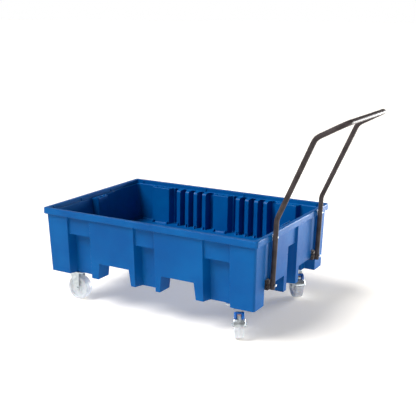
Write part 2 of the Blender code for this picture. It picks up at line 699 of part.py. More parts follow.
def make_wheel_set(label, axle_x, out, centre, fork_axis):
    """Wheel, sleeve, axle bolt and nut; out is the outside face that head and nut bear on."""
    axle = empty(f"{label}_axle", (axle_x, 0.0, WHEEL_RADIUS), fork_axis or centre)
    part(f"{label}_wheel", wheel_mesh(), NYLON, axle)
    part(f"{label}_axle_sleeve", sleeve_mesh(), ZINC, axle)
    part(f"{label}_axle_bolt", axle_bolt_mesh(out), ZINC, axle)
    part(f"{label}_axle_nut", axle_nut_mesh(out), ZINC, axle)
    return axle


def make_plate_bolts(label, centre):
    mesh = plate_bolt_mesh()
    for index, (x, y) in enumerate(plate_hole_places(), 1):
        part(f"{label}_plate_bolt_{index}", mesh.copy(), ZINC, centre, (x, y, 0.0))


def make_fixed_castor(label, place):
    """A rigid castor: plate and legs are one pressing."""
    centre = empty(f"{label}_castor", (*place, 0.0), CENTRE)
    joint_z = PLATE_BOTTOM + PLATE_THICK / 4
    plate = mount_plate(PLATE_TOP, PLATE_BOTTOM)
    fork = joined([joined([plate] + fork_legs(0.0, joint_z)), axle_hole(0.0)], "DIFFERENCE")
    part(f"{label}_fixed_fork", fork, ZINC, centre)
    make_wheel_set(label, 0.0, LEG_OUTSIDE + GAP, centre, None)
    make_plate_bolts(label, centre)


def ring_arc(radius, start, end, steps=6):
    return arc((0.0, 0.0), radius, start, end, steps)


def strap_outline():
    """Side view of the brake strap about the axle: a band round the wheel's trailing side."""
    low, high = STRAP_SPAN
    return ring_arc(LEVER_REACH + LEVER_THICK, low, high, 4) + ring_arc(LEVER_REACH, high, low, 4)


def lever_arm_outline():
    """Side view of a lever arm: an eye on the axle that widens to the strap."""
    low, high = STRAP_SPAN
    return ring_arc(LEVER_EYE, 115, 300, 8) + ring_arc(LEVER_REACH + LEVER_THICK / 2, low + 1, high - 1, 4)


def pedal_outline():
    """Side view of the pedal about the axle: a wedge over the top of the strap."""
    low, high = PEDAL_SPAN
    inner, outer = LEVER_REACH - LEVER_THICK / 2, LEVER_REACH + PEDAL_DEPTH
    third = (high - low) / 3
    crest = ring_arc(outer, low + third, high - third / 2, 3)
    foot = ring_arc((inner + outer) / 2, low, low, 1)[:1]
    return foot + crest + ring_arc(inner, high, low, 5)


def brake_lever():
    pieces = [outline_mesh(strap_outline(), 2 * (LEG_OUTSIDE + GAP) + LEVER_THICK, ALONG_Y)]
    for side in (-1, 1):
        place = Matrix.Translation((0, side * (LEG_OUTSIDE + GAP + LEVER_THICK / 2), 0)) @ ALONG_Y
        pieces.append(outline_mesh(lever_arm_outline(), LEVER_THICK, place))
    hole = cylinder_mesh(AXLE_RADIUS + GAP, (0, -0.05, 0), (0, 0.05, 0), 16)
    return joined([joined(pieces), hole], "DIFFERENCE")


def make_swivel_castor(label, place, turn):
    """A swivel castor with a wheel brake: plate, race, kingpin, fork, wheel set, lever and pedal."""
    centre = empty(f"{label}_castor", (*place, 0.0), CENTRE)
    kingpin_hole = cylinder_mesh(KINGPIN + GAP, (0, 0, WHEEL_RADIUS), (0, 0, RIM_HEIGHT), 16)
    plate = joined([mount_plate(PLATE_TOP, PLATE_BOTTOM), kingpin_hole], "DIFFERENCE")
    part(f"{label}_top_plate", plate, ZINC, centre)
    race_top = PLATE_BOTTOM - GAP
    race_low = race_top - RACE_HEIGHT
    race = turned_mesh([(KINGPIN + GAP, race_top), (SWIVEL_HEAD, race_top), (SWIVEL_HEAD, race_low + 0.003),
                        (SWIVEL_HEAD - 0.004, race_low), (KINGPIN + GAP, race_low)], 24)
    part(f"{label}_ball_race", race, ZINC, centre)
    crown_top = race_low - GAP
    crown_low = crown_top - STEEL
    pin = turned_mesh([(0.0, PLATE_TOP - GAP), (KINGPIN, PLATE_TOP - GAP), (KINGPIN, crown_low - GAP),
                       (KINGPIN + KINGPIN_HEAD, crown_low - GAP),
                       (KINGPIN + KINGPIN_HEAD, crown_low - KINGPIN_HEAD / 2),
                       (KINGPIN + KINGPIN_HEAD / 2, crown_low - KINGPIN_HEAD),
                       (0.0, crown_low - KINGPIN_HEAD)], 16)
    part(f"{label}_kingpin", pin, ZINC, centre)
    swivel = empty(f"{label}_swivel", (0, 0, 0), centre, turn)
    crown = cylinder_mesh(SWIVEL_HEAD + 0.003, (0, 0, crown_low), (0, 0, crown_top), 32)
    reach_end, reach_side = TRAIL + FORK_TOP - FORK_SHIFT - GAP, LEG_OUTSIDE - GAP
    reach = block_mesh((0.0, -reach_side, crown_low + GAP), (reach_end, reach_side, crown_top - GAP))
    legs = fork_legs(TRAIL, crown_top - 2 * GAP)
    holes = [kingpin_hole.copy(), axle_hole(TRAIL)]
    fork = joined([joined([crown, reach] + legs)] + holes, "DIFFERENCE")
    part(f"{label}_swivel_fork", fork, ZINC, swivel)
    out = LEG_OUTSIDE + GAP + LEVER_THICK + GAP
    axle = make_wheel_set(label, TRAIL, out, centre, swivel)
    part(f"{label}_brake_lever", brake_lever(), ZINC, axle)
    body = outline_mesh(pedal_outline(), PEDAL_WIDTH, ALONG_Y)
    mouth_top = (LEVER_REACH + PEDAL_DEPTH / 2) * math.sin(math.radians(sum(PEDAL_SPAN) / 2))
    mouth_side = PEDAL_WIDTH / 2 - PEDAL_WALL
    mouth = block_mesh((0.0, -mouth_side, 0.0), (2 * LEVER_REACH, mouth_side, mouth_top))
    part(f"{label}_brake_pedal", joined([body, mouth], "DIFFERENCE"), BLUE_PEDAL, axle)
    make_plate_bolts(label, centre)


# ---- assembly ------------------------------------------------------------------------------------
clear_scene()
PARTS = make_collection("drum_dolly")
CUTTERS = make_collection("cutters")
CENTRE = empty("tub_centre", (TUB_CENTRE_X, 0.0, 0.0))
make_tub()
make_handle()
CASTORS = castor_places()
make_fixed_castor("front_left", CASTORS[0])
make_fixed_castor("back_left", CASTORS[1])
make_swivel_castor("front_right", CASTORS[2], SWIVEL_AT_REST["front"])
make_swivel_castor("back_right", CASTORS[3], SWIVEL_AT_REST["back"])
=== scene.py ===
"""Bunded drum dolly: its finished surfaces and materials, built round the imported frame.

The sump tub is a grid of closed loops that run round it: up the outside, over the rim and down the
inside. Metres throughout."""

import json
import math

import bmesh
import bpy
import numpy as np
from mathutils import Matrix, Vector
from mathutils.geometry import tessellate_polygon


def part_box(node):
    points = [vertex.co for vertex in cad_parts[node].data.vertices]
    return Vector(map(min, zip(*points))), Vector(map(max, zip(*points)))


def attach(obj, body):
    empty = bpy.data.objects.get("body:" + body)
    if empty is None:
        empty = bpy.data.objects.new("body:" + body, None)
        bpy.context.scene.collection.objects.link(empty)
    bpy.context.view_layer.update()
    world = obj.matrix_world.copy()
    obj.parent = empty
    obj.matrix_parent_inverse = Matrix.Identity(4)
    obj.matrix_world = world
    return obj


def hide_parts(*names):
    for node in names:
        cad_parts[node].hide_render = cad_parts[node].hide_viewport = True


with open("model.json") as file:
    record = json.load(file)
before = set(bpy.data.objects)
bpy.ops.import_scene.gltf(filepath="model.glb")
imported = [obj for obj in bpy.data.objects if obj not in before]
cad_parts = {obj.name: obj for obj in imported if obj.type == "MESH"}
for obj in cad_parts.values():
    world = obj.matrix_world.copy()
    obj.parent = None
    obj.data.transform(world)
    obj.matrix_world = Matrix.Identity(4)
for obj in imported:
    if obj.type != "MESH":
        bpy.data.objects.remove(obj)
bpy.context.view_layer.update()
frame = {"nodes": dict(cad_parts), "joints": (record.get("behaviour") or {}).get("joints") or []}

# ---- tub sizes, measured in from the rim edge or down from the rim top ----
RIM_BAND = 0.032
RIM_OVERHANG = 0.012
RIM_FACE = 0.020
UPSTAND = 0.0215
LEDGE = 0.011
DRAFT = 0.031
FLOOR_DROP = 0.228
UNDERSIDE_DROP = 0.252
WALL = 0.008
PANEL_STEP = 0.011
POCKET_DROP = 0.125
POCKET_DEPTH = 0.046
POCKET_SIDE = 0.012
PANEL_FACE = RIM_OVERHANG + POCKET_DEPTH + WALL
CORNER_PANEL = 0.145
SIDE_POCKET = 0.139
MIDDLE_POCKET = 0.117
END_POCKET = 0.105
SIDE_LEG = 0.0515
SIDE_OPENING = 0.180
OPENING_FLARE = 0.010
END_CORNER = 0.117
END_CHANNEL = 0.060
END_OPENING = 0.208
FOOT_DEPTH = 0.110
FIN_COUNT = 4
FIN_PITCH = 0.056
FIN_WIDTH = 0.025
FIN_START = 0.064
FIN_SHOULDER = 0.016
BAY_COVE = 0.011
STEEP = 0.0015  # run of a nearly upright moulded side
SOFT = 0.003  # moulded fillet on such a side
CORNER_START = 0.075  # the corner arcs begin within this of the rim corner
CORNER_STEPS = 8
OUTER_CORNER, INNER_CORNER = 0.012, 0.022  # radii of the tub's upright corners
BAND_FILLET = 0.0015  # where the wall runs out under the rim band
CLOSEST_LINES = 0.00025
WIDEST_COLUMN, WIDEST_ROW = 0.045, 0.030
SAME_POINT = 2e-5

tub_low, tub_high = (np.array(corner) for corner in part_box("sump_tub"))
TUB_CENTRE = (tub_low + tub_high) / 2
HALF = (tub_high - tub_low) / 2
RIM_Z, FOOT_Z = tub_high[2], tub_low[2]
BAND_Z = RIM_Z - RIM_BAND
LEDGE_Z = RIM_Z - UPSTAND
FLOOR_Z = RIM_Z - FLOOR_DROP
UNDERSIDE_Z = RIM_Z - UNDERSIDE_DROP
POCKET_Z = RIM_Z - POCKET_DROP


# ---- shape helpers ----
def soft_ramp(x, run, fillet=SOFT):
    """0 to 1 over run, its two kinks averaged over a window as wide as the fillet.
    It is the difference of the clamp's integral at the window's two ends, over the window."""
    def integral(v):
        """The clamp's integral up to v."""
        return np.where(v < 0, 0.0, np.where(v < run, v * v / (2 * run), v - run / 2))
    return (integral(x + fillet / 2) - integral(x - fillet / 2)) / fillet


def inside(x, low, high, run):
    """1 between low and high, with sides that slope over run inside them."""
    return soft_ramp(x - low, run) * soft_ramp(high - x, run)


def fillet_curve(x, radius):
    """Height of a quarter round over x, from 0 at x = radius up to radius at x = 0."""
    reach = np.clip(radius - x, 0.0, radius)
    return radius - np.sqrt(radius * radius - reach * reach)


def arc_points(centre, radius, start, end, steps):
    """Points of an arc as rows of two, angles in degrees."""
    turns = np.radians(np.linspace(start, end, steps + 1))
    return np.column_stack([centre[0] + radius * np.cos(turns), centre[1] + radius * np.sin(turns)])


def side_lines(at, run):
    """Grid lines that carry a side that starts at this place and slopes over run (either sign)."""
    steps = np.array([-0.5, -0.25, 0.0, 0.25, 0.5]) * SOFT
    return np.concatenate([at + steps, at + run + steps])


def merged_lines(lines, low, high, widest):
    """Sorted grid lines from low to high, none of them too close or further apart than widest."""
    lines = np.sort(np.concatenate([np.ravel(line) for line in lines] + [[low, high]]))
    lines = lines[(lines >= low) & (lines <= high)]
    keep = np.concatenate([[True], np.diff(lines) > CLOSEST_LINES])
    lines = lines[keep]
    filled = [lines[:1]]
    for start, end in zip(lines[:-1], lines[1:]):
        count = int(np.ceil((end - start) / widest))
        filled.append(start + (end - start) * np.arange(1, count + 1) / count)
    return np.concatenate(filled)


def new_piece(name, points, faces, material, body, sharp=40.0):
    """A mesh object from points and faces, shaded smooth and riding on a body of the frame."""
    mesh = bpy.data.meshes.new(name)
    mesh.from_pydata(points, [], faces)
    mesh.shade_smooth()
    mesh.set_sharp_from_angle(angle=math.radians(sharp))
    mesh.materials.append(material)
    made = bpy.data.objects.new(name, mesh)
    bpy.context.scene.collection.objects.link(made)
    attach(made, body)
    return made


def grid_faces(rows, columns, start=0):
    """Quads between neighbouring rows of a grid whose last column joins its first."""
    row = np.arange(rows - 1)[:, None] * columns
    column = np.arange(columns)[None, :]
    after = (column + 1) % columns
    quads = np.stack([row + column, row + after, row + columns + after, row + columns + column], axis=-1)
    return (quads.reshape(-1, 4) + start).tolist()


# ---- tub: what lies where along a wall ----
POCKET_MIDDLE = HALF[0] - CORNER_PANEL - SIDE_POCKET / 2
POCKETS = {"long": [(-POCKET_MIDDLE, SIDE_POCKET), (0.0, MIDDLE_POCKET), (POCKET_MIDDLE, SIDE_POCKET)],
           "end": [(0.0, END_POCKET)]}
CHANNEL_MIDDLE = HALF[1] - END_CORNER - END_CHANNEL / 2
CHANNELS = {"long": [], "end": [(-CHANNEL_MIDDLE, END_CHANNEL), (CHANNEL_MIDDLE, END_CHANNEL)]}
OPENING_MIDDLE = {"long": HALF[0] - CORNER_PANEL - SIDE_POCKET - SIDE_LEG - SIDE_OPENING / 2,
                  "end": HALF[1] - END_CORNER - END_OPENING / 2}
OPENING_WIDTH = {"long": SIDE_OPENING, "end": END_OPENING}
BAY_OUTER = HALF[0] - CORNER_PANEL - SIDE_POCKET - WALL
BAY_INNER = MIDDLE_POCKET / 2 + WALL
BAYS = {"long": [(-BAY_OUTER, -BAY_INNER), (BAY_INNER, BAY_OUTER)], "end": []}
FIRST_FIN = HALF[0] - CORNER_PANEL - SIDE_POCKET - FIN_START + FIN_WIDTH / 2
FIN_MIDDLES = FIRST_FIN - FIN_PITCH * np.arange(FIN_COUNT)
FINS = {"long": [*-FIN_MIDDLES, *FIN_MIDDLES], "end": []}


def wall_columns(wall, half):
    """Grid lines along a wall, one set for both its outside and its inside."""
    lines = []
    for middle, width in POCKETS[wall] + CHANNELS[wall]:
        for side in (-1, 1):
            edge = middle + side * width / 2
            lines += [side_lines(edge, -side * STEEP), side_lines(edge, -side * POCKET_SIDE)]
    for edge in (-1, 1):
        jamb = OPENING_MIDDLE[wall] + edge * OPENING_WIDTH[wall] / 2
        lines.append([-jamb, jamb])
    for start, end in BAYS[wall]:
        lines += [side_lines(start, STEEP), side_lines(end, -STEEP)]
    for middle in FINS[wall]:
        for side in (-1, 1):
            lines.append(side_lines(middle + side * FIN_WIDTH / 2, side * STEEP))
    return merged_lines(lines, -(half - CORNER_START), half - CORNER_START, WIDEST_COLUMN)


COLUMNS = {"long": wall_columns("long", HALF[0]), "end": wall_columns("end", HALF[1])}


def lean(z):
    """How far a drafted wall has come in at this height."""
    return (BAND_Z - z) * DRAFT


def outer_depth(wall, t, z):
    """Depth of the outside in from the rim edge: the drafted wall, plus the shallow lintels and
    channels, plus the deep pockets under the lintels."""
    depth = RIM_OVERHANG + lean(z) + 0.0 * t
    for middle, width in POCKETS[wall] + CHANNELS[wall]:
        depth = depth + PANEL_STEP * inside(t, middle - width / 2, middle + width / 2, STEEP)
    for middle, width in POCKETS[wall]:
        across = inside(t, middle - width / 2 + STEEP, middle + width / 2 - STEEP, POCKET_SIDE)
        under = soft_ramp(POCKET_Z - z, STEEP)
        depth = depth + (POCKET_DEPTH - PANEL_STEP) * across * under
    return depth


def inner_depth(wall, t, z):
    """Depth of the inside in from the rim edge: the plain wall, hollowed in the bays, brought forward
    on the panels behind the pockets and on the fins, whose shoulders are quarter rounds."""
    down = LEDGE_Z - z
    plain = RIM_FACE + LEDGE + lean(z)
    depth = plain + 0.0 * t
    bay = RIM_OVERHANG + WALL + lean(z) + fillet_curve(down, BAY_COVE)
    for start, end in BAYS[wall]:
        depth = depth + (bay - plain) * inside(t, start, end, STEEP)
    front = PANEL_FACE + lean(z)
    for middle, width in POCKETS[wall]:
        across = inside(t, middle - width / 2, middle + width / 2, POCKET_SIDE)
        depth = depth + (front - depth) * across
    fin = front - fillet_curve(down, FIN_SHOULDER)
    for middle in FINS[wall]:
        reach = FIN_WIDTH / 2 + STEEP
        depth = depth + (fin - depth) * inside(t, middle - reach, middle + reach, STEEP)
    return depth


def loop(depths, radius, z):
    """One closed ring round the tub, anticlockwise from the front wall's left: each wall's columns at
    their own depth, joined by corner arcs of one radius."""
    corner_depth = depths["long"][0]
    points = []
    sides = [("long", HALF[0], HALF[1]), ("end", HALF[1], HALF[0])] * 2
    for quarter, (wall, half_along, half_out) in enumerate(sides):
        t, depth = COLUMNS[wall], depths[wall]
        along = np.stack([t, -(half_out - depth)], axis=-1)
        centre = (half_along - corner_depth - radius, -(half_out - corner_depth - radius))
        part = np.concatenate([along, arc_points(centre, radius, -90, 0, CORNER_STEPS)])
        angle = quarter * math.pi / 2
        cos, sin = round(math.cos(angle)), round(math.sin(angle))
        points.append(part @ np.array([[cos, sin], [-sin, cos]]))
    flat = np.concatenate(points)
    return np.column_stack([flat, np.full(len(flat), z)])


def level(depth):
    """The same depth on every column."""
    return {wall: np.full(len(t), depth) for wall, t in COLUMNS.items()}


def outside_loop(z):
    """The outside's ring at one height."""
    depths = {wall: outer_depth(wall, t, z) for wall, t in COLUMNS.items()}
    return loop(depths, OUTER_CORNER, z)


def inside_loop(z, extra):
    """The inside's ring at one height, set further in by extra."""
    depths = {wall: inner_depth(wall, t, z) + extra for wall, t in COLUMNS.items()}
    return loop(depths, INNER_CORNER, z)


def rim_loops():
    """The rim's section from under the band, round its two top edges and down the upstand, as rings. A
    ring's corner radius is a little smaller the further in it lies."""
    low, top, lip = 0.0025, 0.004, 0.003
    cove, cove_middle = 0.002, 0.0006
    section = np.concatenate([
        [(RIM_OVERHANG - BAND_FILLET, BAND_Z)],
        arc_points((low, BAND_Z + low), low, 270, 180, 4),
        arc_points((top, RIM_Z - top), top, 180, 90, 4),
        arc_points((RIM_FACE - lip, RIM_Z - lip), lip, 90, 0, 4),
        [(RIM_FACE, LEDGE_Z + cove), (RIM_FACE + cove_middle, LEDGE_Z + cove_middle),
         (RIM_FACE + cove, LEDGE_Z)]])
    return [loop(level(inset), max(0.009, OUTER_CORNER - inset * 0.1), z) for inset, z in section]


def tub_rows():
    """Every loop of the tub above its underside, outside first."""
    pocket = POCKET_Z + np.array([0.5, 0.25, 0.0, -0.25, -0.5]) * SOFT
    lines = merged_lines([pocket, pocket - STEEP], UNDERSIDE_Z, BAND_Z - 2 * BAND_FILLET, WIDEST_ROW)
    rows = [outside_loop(z) for z in lines]
    for step in (BAND_FILLET, BAND_FILLET / 3):
        depths = {wall: outer_depth(wall, t, BAND_Z) - BAND_FILLET + step for wall, t in COLUMNS.items()}
        rows.append(loop(depths, OUTER_CORNER, BAND_Z - step))
    rows += rim_loops()
    round_top, round_floor = 0.003, 0.010
    top = LEDGE_Z - round_top * (1 - np.cos(np.radians(np.linspace(0, 90, 5))))
    shoulders = LEDGE_Z - np.array([4.5, 6, 8, 10, 12.5, 16, 20]) * 0.001
    sparse = np.linspace(LEDGE_Z - 0.04, FLOOR_Z + round_floor, 7)
    foot = FLOOR_Z + round_floor * (1 - np.sin(np.radians(np.linspace(15, 90, 6))))
    for z in np.concatenate([top, shoulders, sparse, foot]):
        extra = fillet_curve(z - FLOOR_Z, round_floor) - fillet_curve(LEDGE_Z - z, round_top)
        rows.append(inside_loop(z, extra))
    return rows


def column_index(quarter, t):
    """Index in a loop of the column nearest t on the wall of that quarter."""
    walls = ("long", "end", "long", "end")
    start = sum(len(COLUMNS[wall]) + CORNER_STEPS + 1 for wall in walls[:quarter])
    return start + int(np.argmin(np.abs(COLUMNS[walls[quarter]] - t)))


def rounded_path(corners, radius, steps=3):
    """An open path through corners, each inner one cut off by a parabola that starts and ends the radius
    away from it."""
    corners = [np.array(c, float) for c in corners]
    path = [corners[0]]
    for before, corner, after in zip(corners, corners[1:], corners[2:]):
        back = (before - corner) / np.linalg.norm(before - corner)
        ahead = (after - corner) / np.linalg.norm(after - corner)
        for share in np.linspace(0.0, 1.0, steps + 1):
            path.append(corner + radius * (back * (1 - share) ** 2 + ahead * share ** 2))
    return np.array(path + [corners[-1]])


def feet():
    """Each foot's kind, the quarter of the tub it starts in, and its first and last column. A middle foot
    stands between a wall's two fork openings, and a corner foot runs on round to the next wall."""
    found = []
    for quarter in range(4):
        wall, after = (("long", "end"), ("end", "long"))[quarter % 2]
        gap = OPENING_MIDDLE[wall] - OPENING_WIDTH[wall] / 2
        reach = OPENING_MIDDLE[wall] + OPENING_WIDTH[wall] / 2
        next_reach = OPENING_MIDDLE[after] + OPENING_WIDTH[after] / 2
        next_wall = column_index((quarter + 1) % 4, -next_reach)
        found.append(("corner", quarter, column_index(quarter, reach), next_wall))
        found.append(("middle", quarter, column_index(quarter, -gap), column_index(quarter, gap)))
    return found


PAD_NEAR, PAD_FAR, PAD_IN = 0.0785, 0.1995, 0.153  # castor pad along the long side and in from it
FOOT_CORNER = 0.008
FLARE_REACH = 0.020  # along the wall from a fork opening's edge
LONG_WALL_BAND, FOOT_BAND = 0.03, 0.09  # in from the rim: a long wall's face, and the foot points that flare


def foot_inner(kind, quarter, first, last):
    """Corner points of a foot's hidden side, from its last wall point back to its first."""
    if kind == "middle":
        inward = np.array([[0, 1], [-1, 0], [0, -1], [1, 0]][quarter], float)
        half = HALF[1 - quarter % 2]
        corners = [point + inward * (FOOT_DEPTH - (half + point @ inward)) for point in (last, first)]
        return [last, *corners, first]
    sign = np.array([[1, -1], [1, 1], [-1, 1], [-1, -1]][quarter], float)
    corner = HALF[:2]
    end_point, side_point = (last, first) if quarter % 2 == 0 else (first, last)

    def at(x_in, y_in):
        """The plan point this far in from the tub's corner."""
        return sign * (corner - np.array([x_in, y_in]))

    side_x = corner[0] - abs(side_point[0])
    end_y = corner[1] - abs(end_point[1])
    middle = [at(PAD_NEAR, end_y), at(PAD_NEAR, PAD_IN), at(PAD_FAR, PAD_IN), at(PAD_FAR, FOOT_DEPTH),
              at(side_x, FOOT_DEPTH)]
    path = [end_point] + middle + [side_point]
    return path if quarter % 2 == 0 else path[::-1]


def shift_for_flare(points, z):
    """Wall points moved away from a long wall's fork opening, so that it widens downwards: by the flare
    times the share of the foot's height, falling to none over the reach from the opening's edge."""
    moved = points.copy()
    share = (UNDERSIDE_Z - z) / (UNDERSIDE_Z - FOOT_Z)
    if share <= 0:
        return moved
    for anchor in points[[0, -1]]:
        if abs(abs(anchor[1]) - HALF[1]) > LONG_WALL_BAND:
            continue
        away = math.copysign(1.0, points[len(points) // 2][0] - anchor[0])
        weight = np.clip(1 - np.abs(points[:, 0] - anchor[0]) / FLARE_REACH, 0.0, 1.0)
        weight = weight * (np.abs(np.abs(points[:, 1]) - HALF[1]) < FOOT_BAND)
        moved[:, 0] += away * OPENING_FLARE * share * weight
    return moved


def outline_normals(points):
    """Outward unit normals of a closed anticlockwise outline."""
    ahead = np.roll(points, -1, axis=0) - points
    behind = points - np.roll(points, 1, axis=0)

    def unit(v):
        """Each row at length one."""
        return v / np.maximum(np.linalg.norm(v, axis=1, keepdims=True), 1e-9)

    tangent = unit(unit(ahead) + unit(behind))
    return np.stack([tangent[:, 1], -tangent[:, 0]], axis=-1)


def foot_loops(kind, quarter, first, last, columns):
    """Closed loops of one foot from the underside down to its rounded bottom edge."""
    edge = 0.0012
    straight = np.linspace(UNDERSIDE_Z, FOOT_Z + edge, 4)
    turns = np.radians(np.linspace(0, 90, 5))[1:]
    heights = np.concatenate([straight, FOOT_Z + edge * (1 - np.sin(turns))])
    insets = np.concatenate([np.zeros(len(straight)), edge * (1 - np.cos(turns))])
    index = np.arange(first, last + 1 + (columns if last < first else 0)) % columns
    loops = []
    for z, inset in zip(heights, insets):
        wall = shift_for_flare(outside_loop(z)[index][:, :2], z)
        hidden = rounded_path(foot_inner(kind, quarter, wall[0], wall[-1]), FOOT_CORNER)[1:-1]
        outline = np.concatenate([wall, hidden])
        outline = outline - inset * outline_normals(outline)
        loops.append(np.column_stack([outline, np.full(len(outline), z)]))
    return loops


def build_tub(material):
    """All loops as one closed skin: the wall grid, the feet below it, then the flat faces that close the
    underside, the sump floor and the soles of the feet."""
    rows = tub_rows()
    columns = len(rows[0])
    points = [np.concatenate(rows)]
    faces = grid_faces(len(rows), columns)
    soles = []
    count = len(rows) * columns
    for foot in feet():
        loops = foot_loops(*foot, columns)
        size = len(loops[0])
        faces += [face[::-1] for face in grid_faces(len(loops), size, count)]
        sole = [Vector(point) for point in loops[-1].tolist()]
        start = count + (len(loops) - 1) * size
        soles += [[start + corner for corner in triangle] for triangle in tessellate_polygon([sole])]
        points.append(np.concatenate(loops))
        count += len(loops) * size
    floor = list(range((len(rows) - 1) * columns, len(rows) * columns))
    points = np.concatenate(points) + [TUB_CENTRE[0], TUB_CENTRE[1], 0.0]
    tub = new_piece("sump_tub_skin", points.tolist(), faces + soles + [floor], material, "trolley")
    bm = bmesh.new()
    bm.from_mesh(tub.data)
    bmesh.ops.remove_doubles(bm, verts=bm.verts, dist=SAME_POINT)
    open_edges = [edge for edge in bm.edges if edge.is_boundary]
    bmesh.ops.triangle_fill(bm, edges=open_edges, use_beauty=True, normal=(0, 0, -1))
    bmesh.ops.triangulate(bm, faces=[face for face in bm.faces if len(face.verts) > 4])
    bmesh.ops.recalc_face_normals(bm, faces=bm.faces)
    bm.to_mesh(tub.data)
    bm.free()
    tub.data.shade_smooth()
    tub.data.set_sharp_from_angle(angle=math.radians(38))
    weighted = tub.modifiers.new("weighted_normals", "WEIGHTED_NORMAL")
    weighted.keep_sharp = True
    weighted.weight = 80
    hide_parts("sump_tub")


# ---- materials ----
def linear(hex_colour):
    """An sRGB hex colour as linear RGBA."""
    value = np.array([int(hex_colour[i:i + 2], 16) for i in (0, 2, 4)]) / 255
    scaled = np.where(value <= 0.04045, value / 12.92, ((value + 0.055) / 1.055) ** 2.4)
    return (*scaled.tolist(), 1.0)


def add_node(tree, kind, links=(), stops=(), **settings):
    """A node with its sockets and properties set. Links are (output, name of the input it goes to), and
    stops are a colour ramp's (position, linear colour), its first and last ones before any between."""
    node = tree.nodes.new(kind)
    for name, value in settings.items():
        socket = node.inputs.get(name.replace("_", " "))
        if socket is None:
            setattr(node, name, value)
        else:
            socket.default_value = value
    for i, (position, colour) in enumerate(stops):
        stop = node.color_ramp.elements[i] if i < 2 else node.color_ramp.elements.new(position)
        stop.position, stop.color = position, colour
    for output, name in links:
        tree.links.new(output, node.inputs[name])
    return node


def new_material(name, colour, roughness, metallic=0.0, **sockets):
    """A Principled material: itself, its tree and its shader."""
    made = bpy.data.materials.new(name)
    made.use_nodes = True
    shader = made.node_tree.nodes["Principled BSDF"]
    sockets.update(Base_Color=linear(colour), Roughness=roughness, Metallic=metallic)
    for socket, value in sockets.items():
        shader.inputs[socket.replace("_", " ")].default_value = value
    return made, made.node_tree, shader


def feed(tree, shader, **outputs):
    """Links each output to the shader's input of that name."""
    for name, output in outputs.items():
        tree.links.new(output, shader.inputs[name.replace("_", " ")])


def moulded_polyethylene():
    """High density polyethylene, injection moulded: a deep saturated blue with a waxy satin gloss. Its tint
    is mottled about 170 mm apart where the melt flowed, its gloss scuffed about 35 mm apart, its faces
    wave about 100 mm long where they sank, and the mould's spark finish leaves a 2.6 mm peel, coarser
    than the real one so that it shows."""
    made, tree, shader = new_material("moulded_polyethylene", "015696", 0.34, IOR=1.52,
                                      Specular_IOR_Level=0.10)
    place = [(add_node(tree, "ShaderNodeTexCoord").outputs["Object"], "Vector")]
    clouds = add_node(tree, "ShaderNodeTexNoise", place, Scale=6.0, Detail=3.0)
    tint = add_node(tree, "ShaderNodeValToRGB", [(clouds.outputs["Fac"], "Fac")],
                    stops=[(0.35, linear("015094")), (0.65, linear("015b9f"))])
    scuffs = add_node(tree, "ShaderNodeTexNoise", place, Scale=28.0, Detail=5.0, Roughness=0.65)
    gloss = add_node(tree, "ShaderNodeMapRange", [(scuffs.outputs["Fac"], "Value")],
                     From_Min=0.3, From_Max=0.7, To_Min=0.27, To_Max=0.42)
    waves = add_node(tree, "ShaderNodeTexNoise", place, Scale=10.0, Detail=1.0)
    slow = add_node(tree, "ShaderNodeBump", [(waves.outputs["Fac"], "Height")],
                    Strength=0.16, Distance=0.006)
    grain = add_node(tree, "ShaderNodeTexNoise", place, Scale=380.0, Detail=2.0)
    peel = add_node(tree, "ShaderNodeBump",
                    [(grain.outputs["Fac"], "Height"), (slow.outputs["Normal"], "Normal")],
                    Strength=0.10, Distance=0.0005)
    feed(tree, shader, Base_Color=tint.outputs["Color"], Roughness=gloss.outputs["Result"],
         Normal=peel.outputs["Normal"])
    return made


def turned_nylon():
    """Cast polyamide, turned: milky white with a soft sheen, light passing a little way in, greyed by road
    dust in patches about 22 mm apart, with a 1.5 mm grain left by the tool and the floor."""
    made, tree, shader = new_material("turned_nylon", "dcdfe3", 0.38, IOR=1.53, Subsurface_Weight=0.12,
                                      Subsurface_Scale=0.004)
    place = [(add_node(tree, "ShaderNodeTexCoord").outputs["Object"], "Vector")]
    dust = add_node(tree, "ShaderNodeTexNoise", place, Scale=45.0, Detail=4.0)
    tint = add_node(tree, "ShaderNodeValToRGB", [(dust.outputs["Fac"], "Fac")],
                    stops=[(0.30, linear("c0c5cc")), (0.55, linear("d4d9e0"))])
    grain = add_node(tree, "ShaderNodeTexNoise", place, Scale=650.0, Detail=2.0)
    bump = add_node(tree, "ShaderNodeBump", [(grain.outputs["Fac"], "Height")],
                    Strength=0.10, Distance=0.0003)
    feed(tree, shader, Base_Color=tint.outputs["Color"], Normal=bump.outputs["Normal"])
    return made


def zinc_plate():
    """Mild steel, pressed and bright zinc plated: pale blue-grey metal, cloudy about 17 mm apart where the
    plating bath ran, which changes its tint and its gloss together, over a 1.1 mm grain of the steel."""
    made, tree, shader = new_material("bright_zinc_plate", "c6cfd4", 0.38, 1.0)
    place = [(add_node(tree, "ShaderNodeTexCoord").outputs["Object"], "Vector")]
    clouds = add_node(tree, "ShaderNodeTexNoise", place, Scale=60.0, Detail=4.0)
    tint = add_node(tree, "ShaderNodeValToRGB", [(clouds.outputs["Fac"], "Fac")],
                    stops=[(0.35, linear("b7c1c7")), (0.65, linear("d5dce0"))])
    gloss = add_node(tree, "ShaderNodeMapRange", [(clouds.outputs["Fac"], "Value")],
                     From_Min=0.3, From_Max=0.7, To_Min=0.30, To_Max=0.44)
    grain = add_node(tree, "ShaderNodeTexNoise", place, Scale=900.0, Detail=2.0)
    bump = add_node(tree, "ShaderNodeBump", [(grain.outputs["Fac"], "Height")],
                    Strength=0.06, Distance=0.0002)
    feed(tree, shader, Base_Color=tint.outputs["Color"], Roughness=gloss.outputs["Result"],
         Normal=bump.outputs["Normal"])
    return made


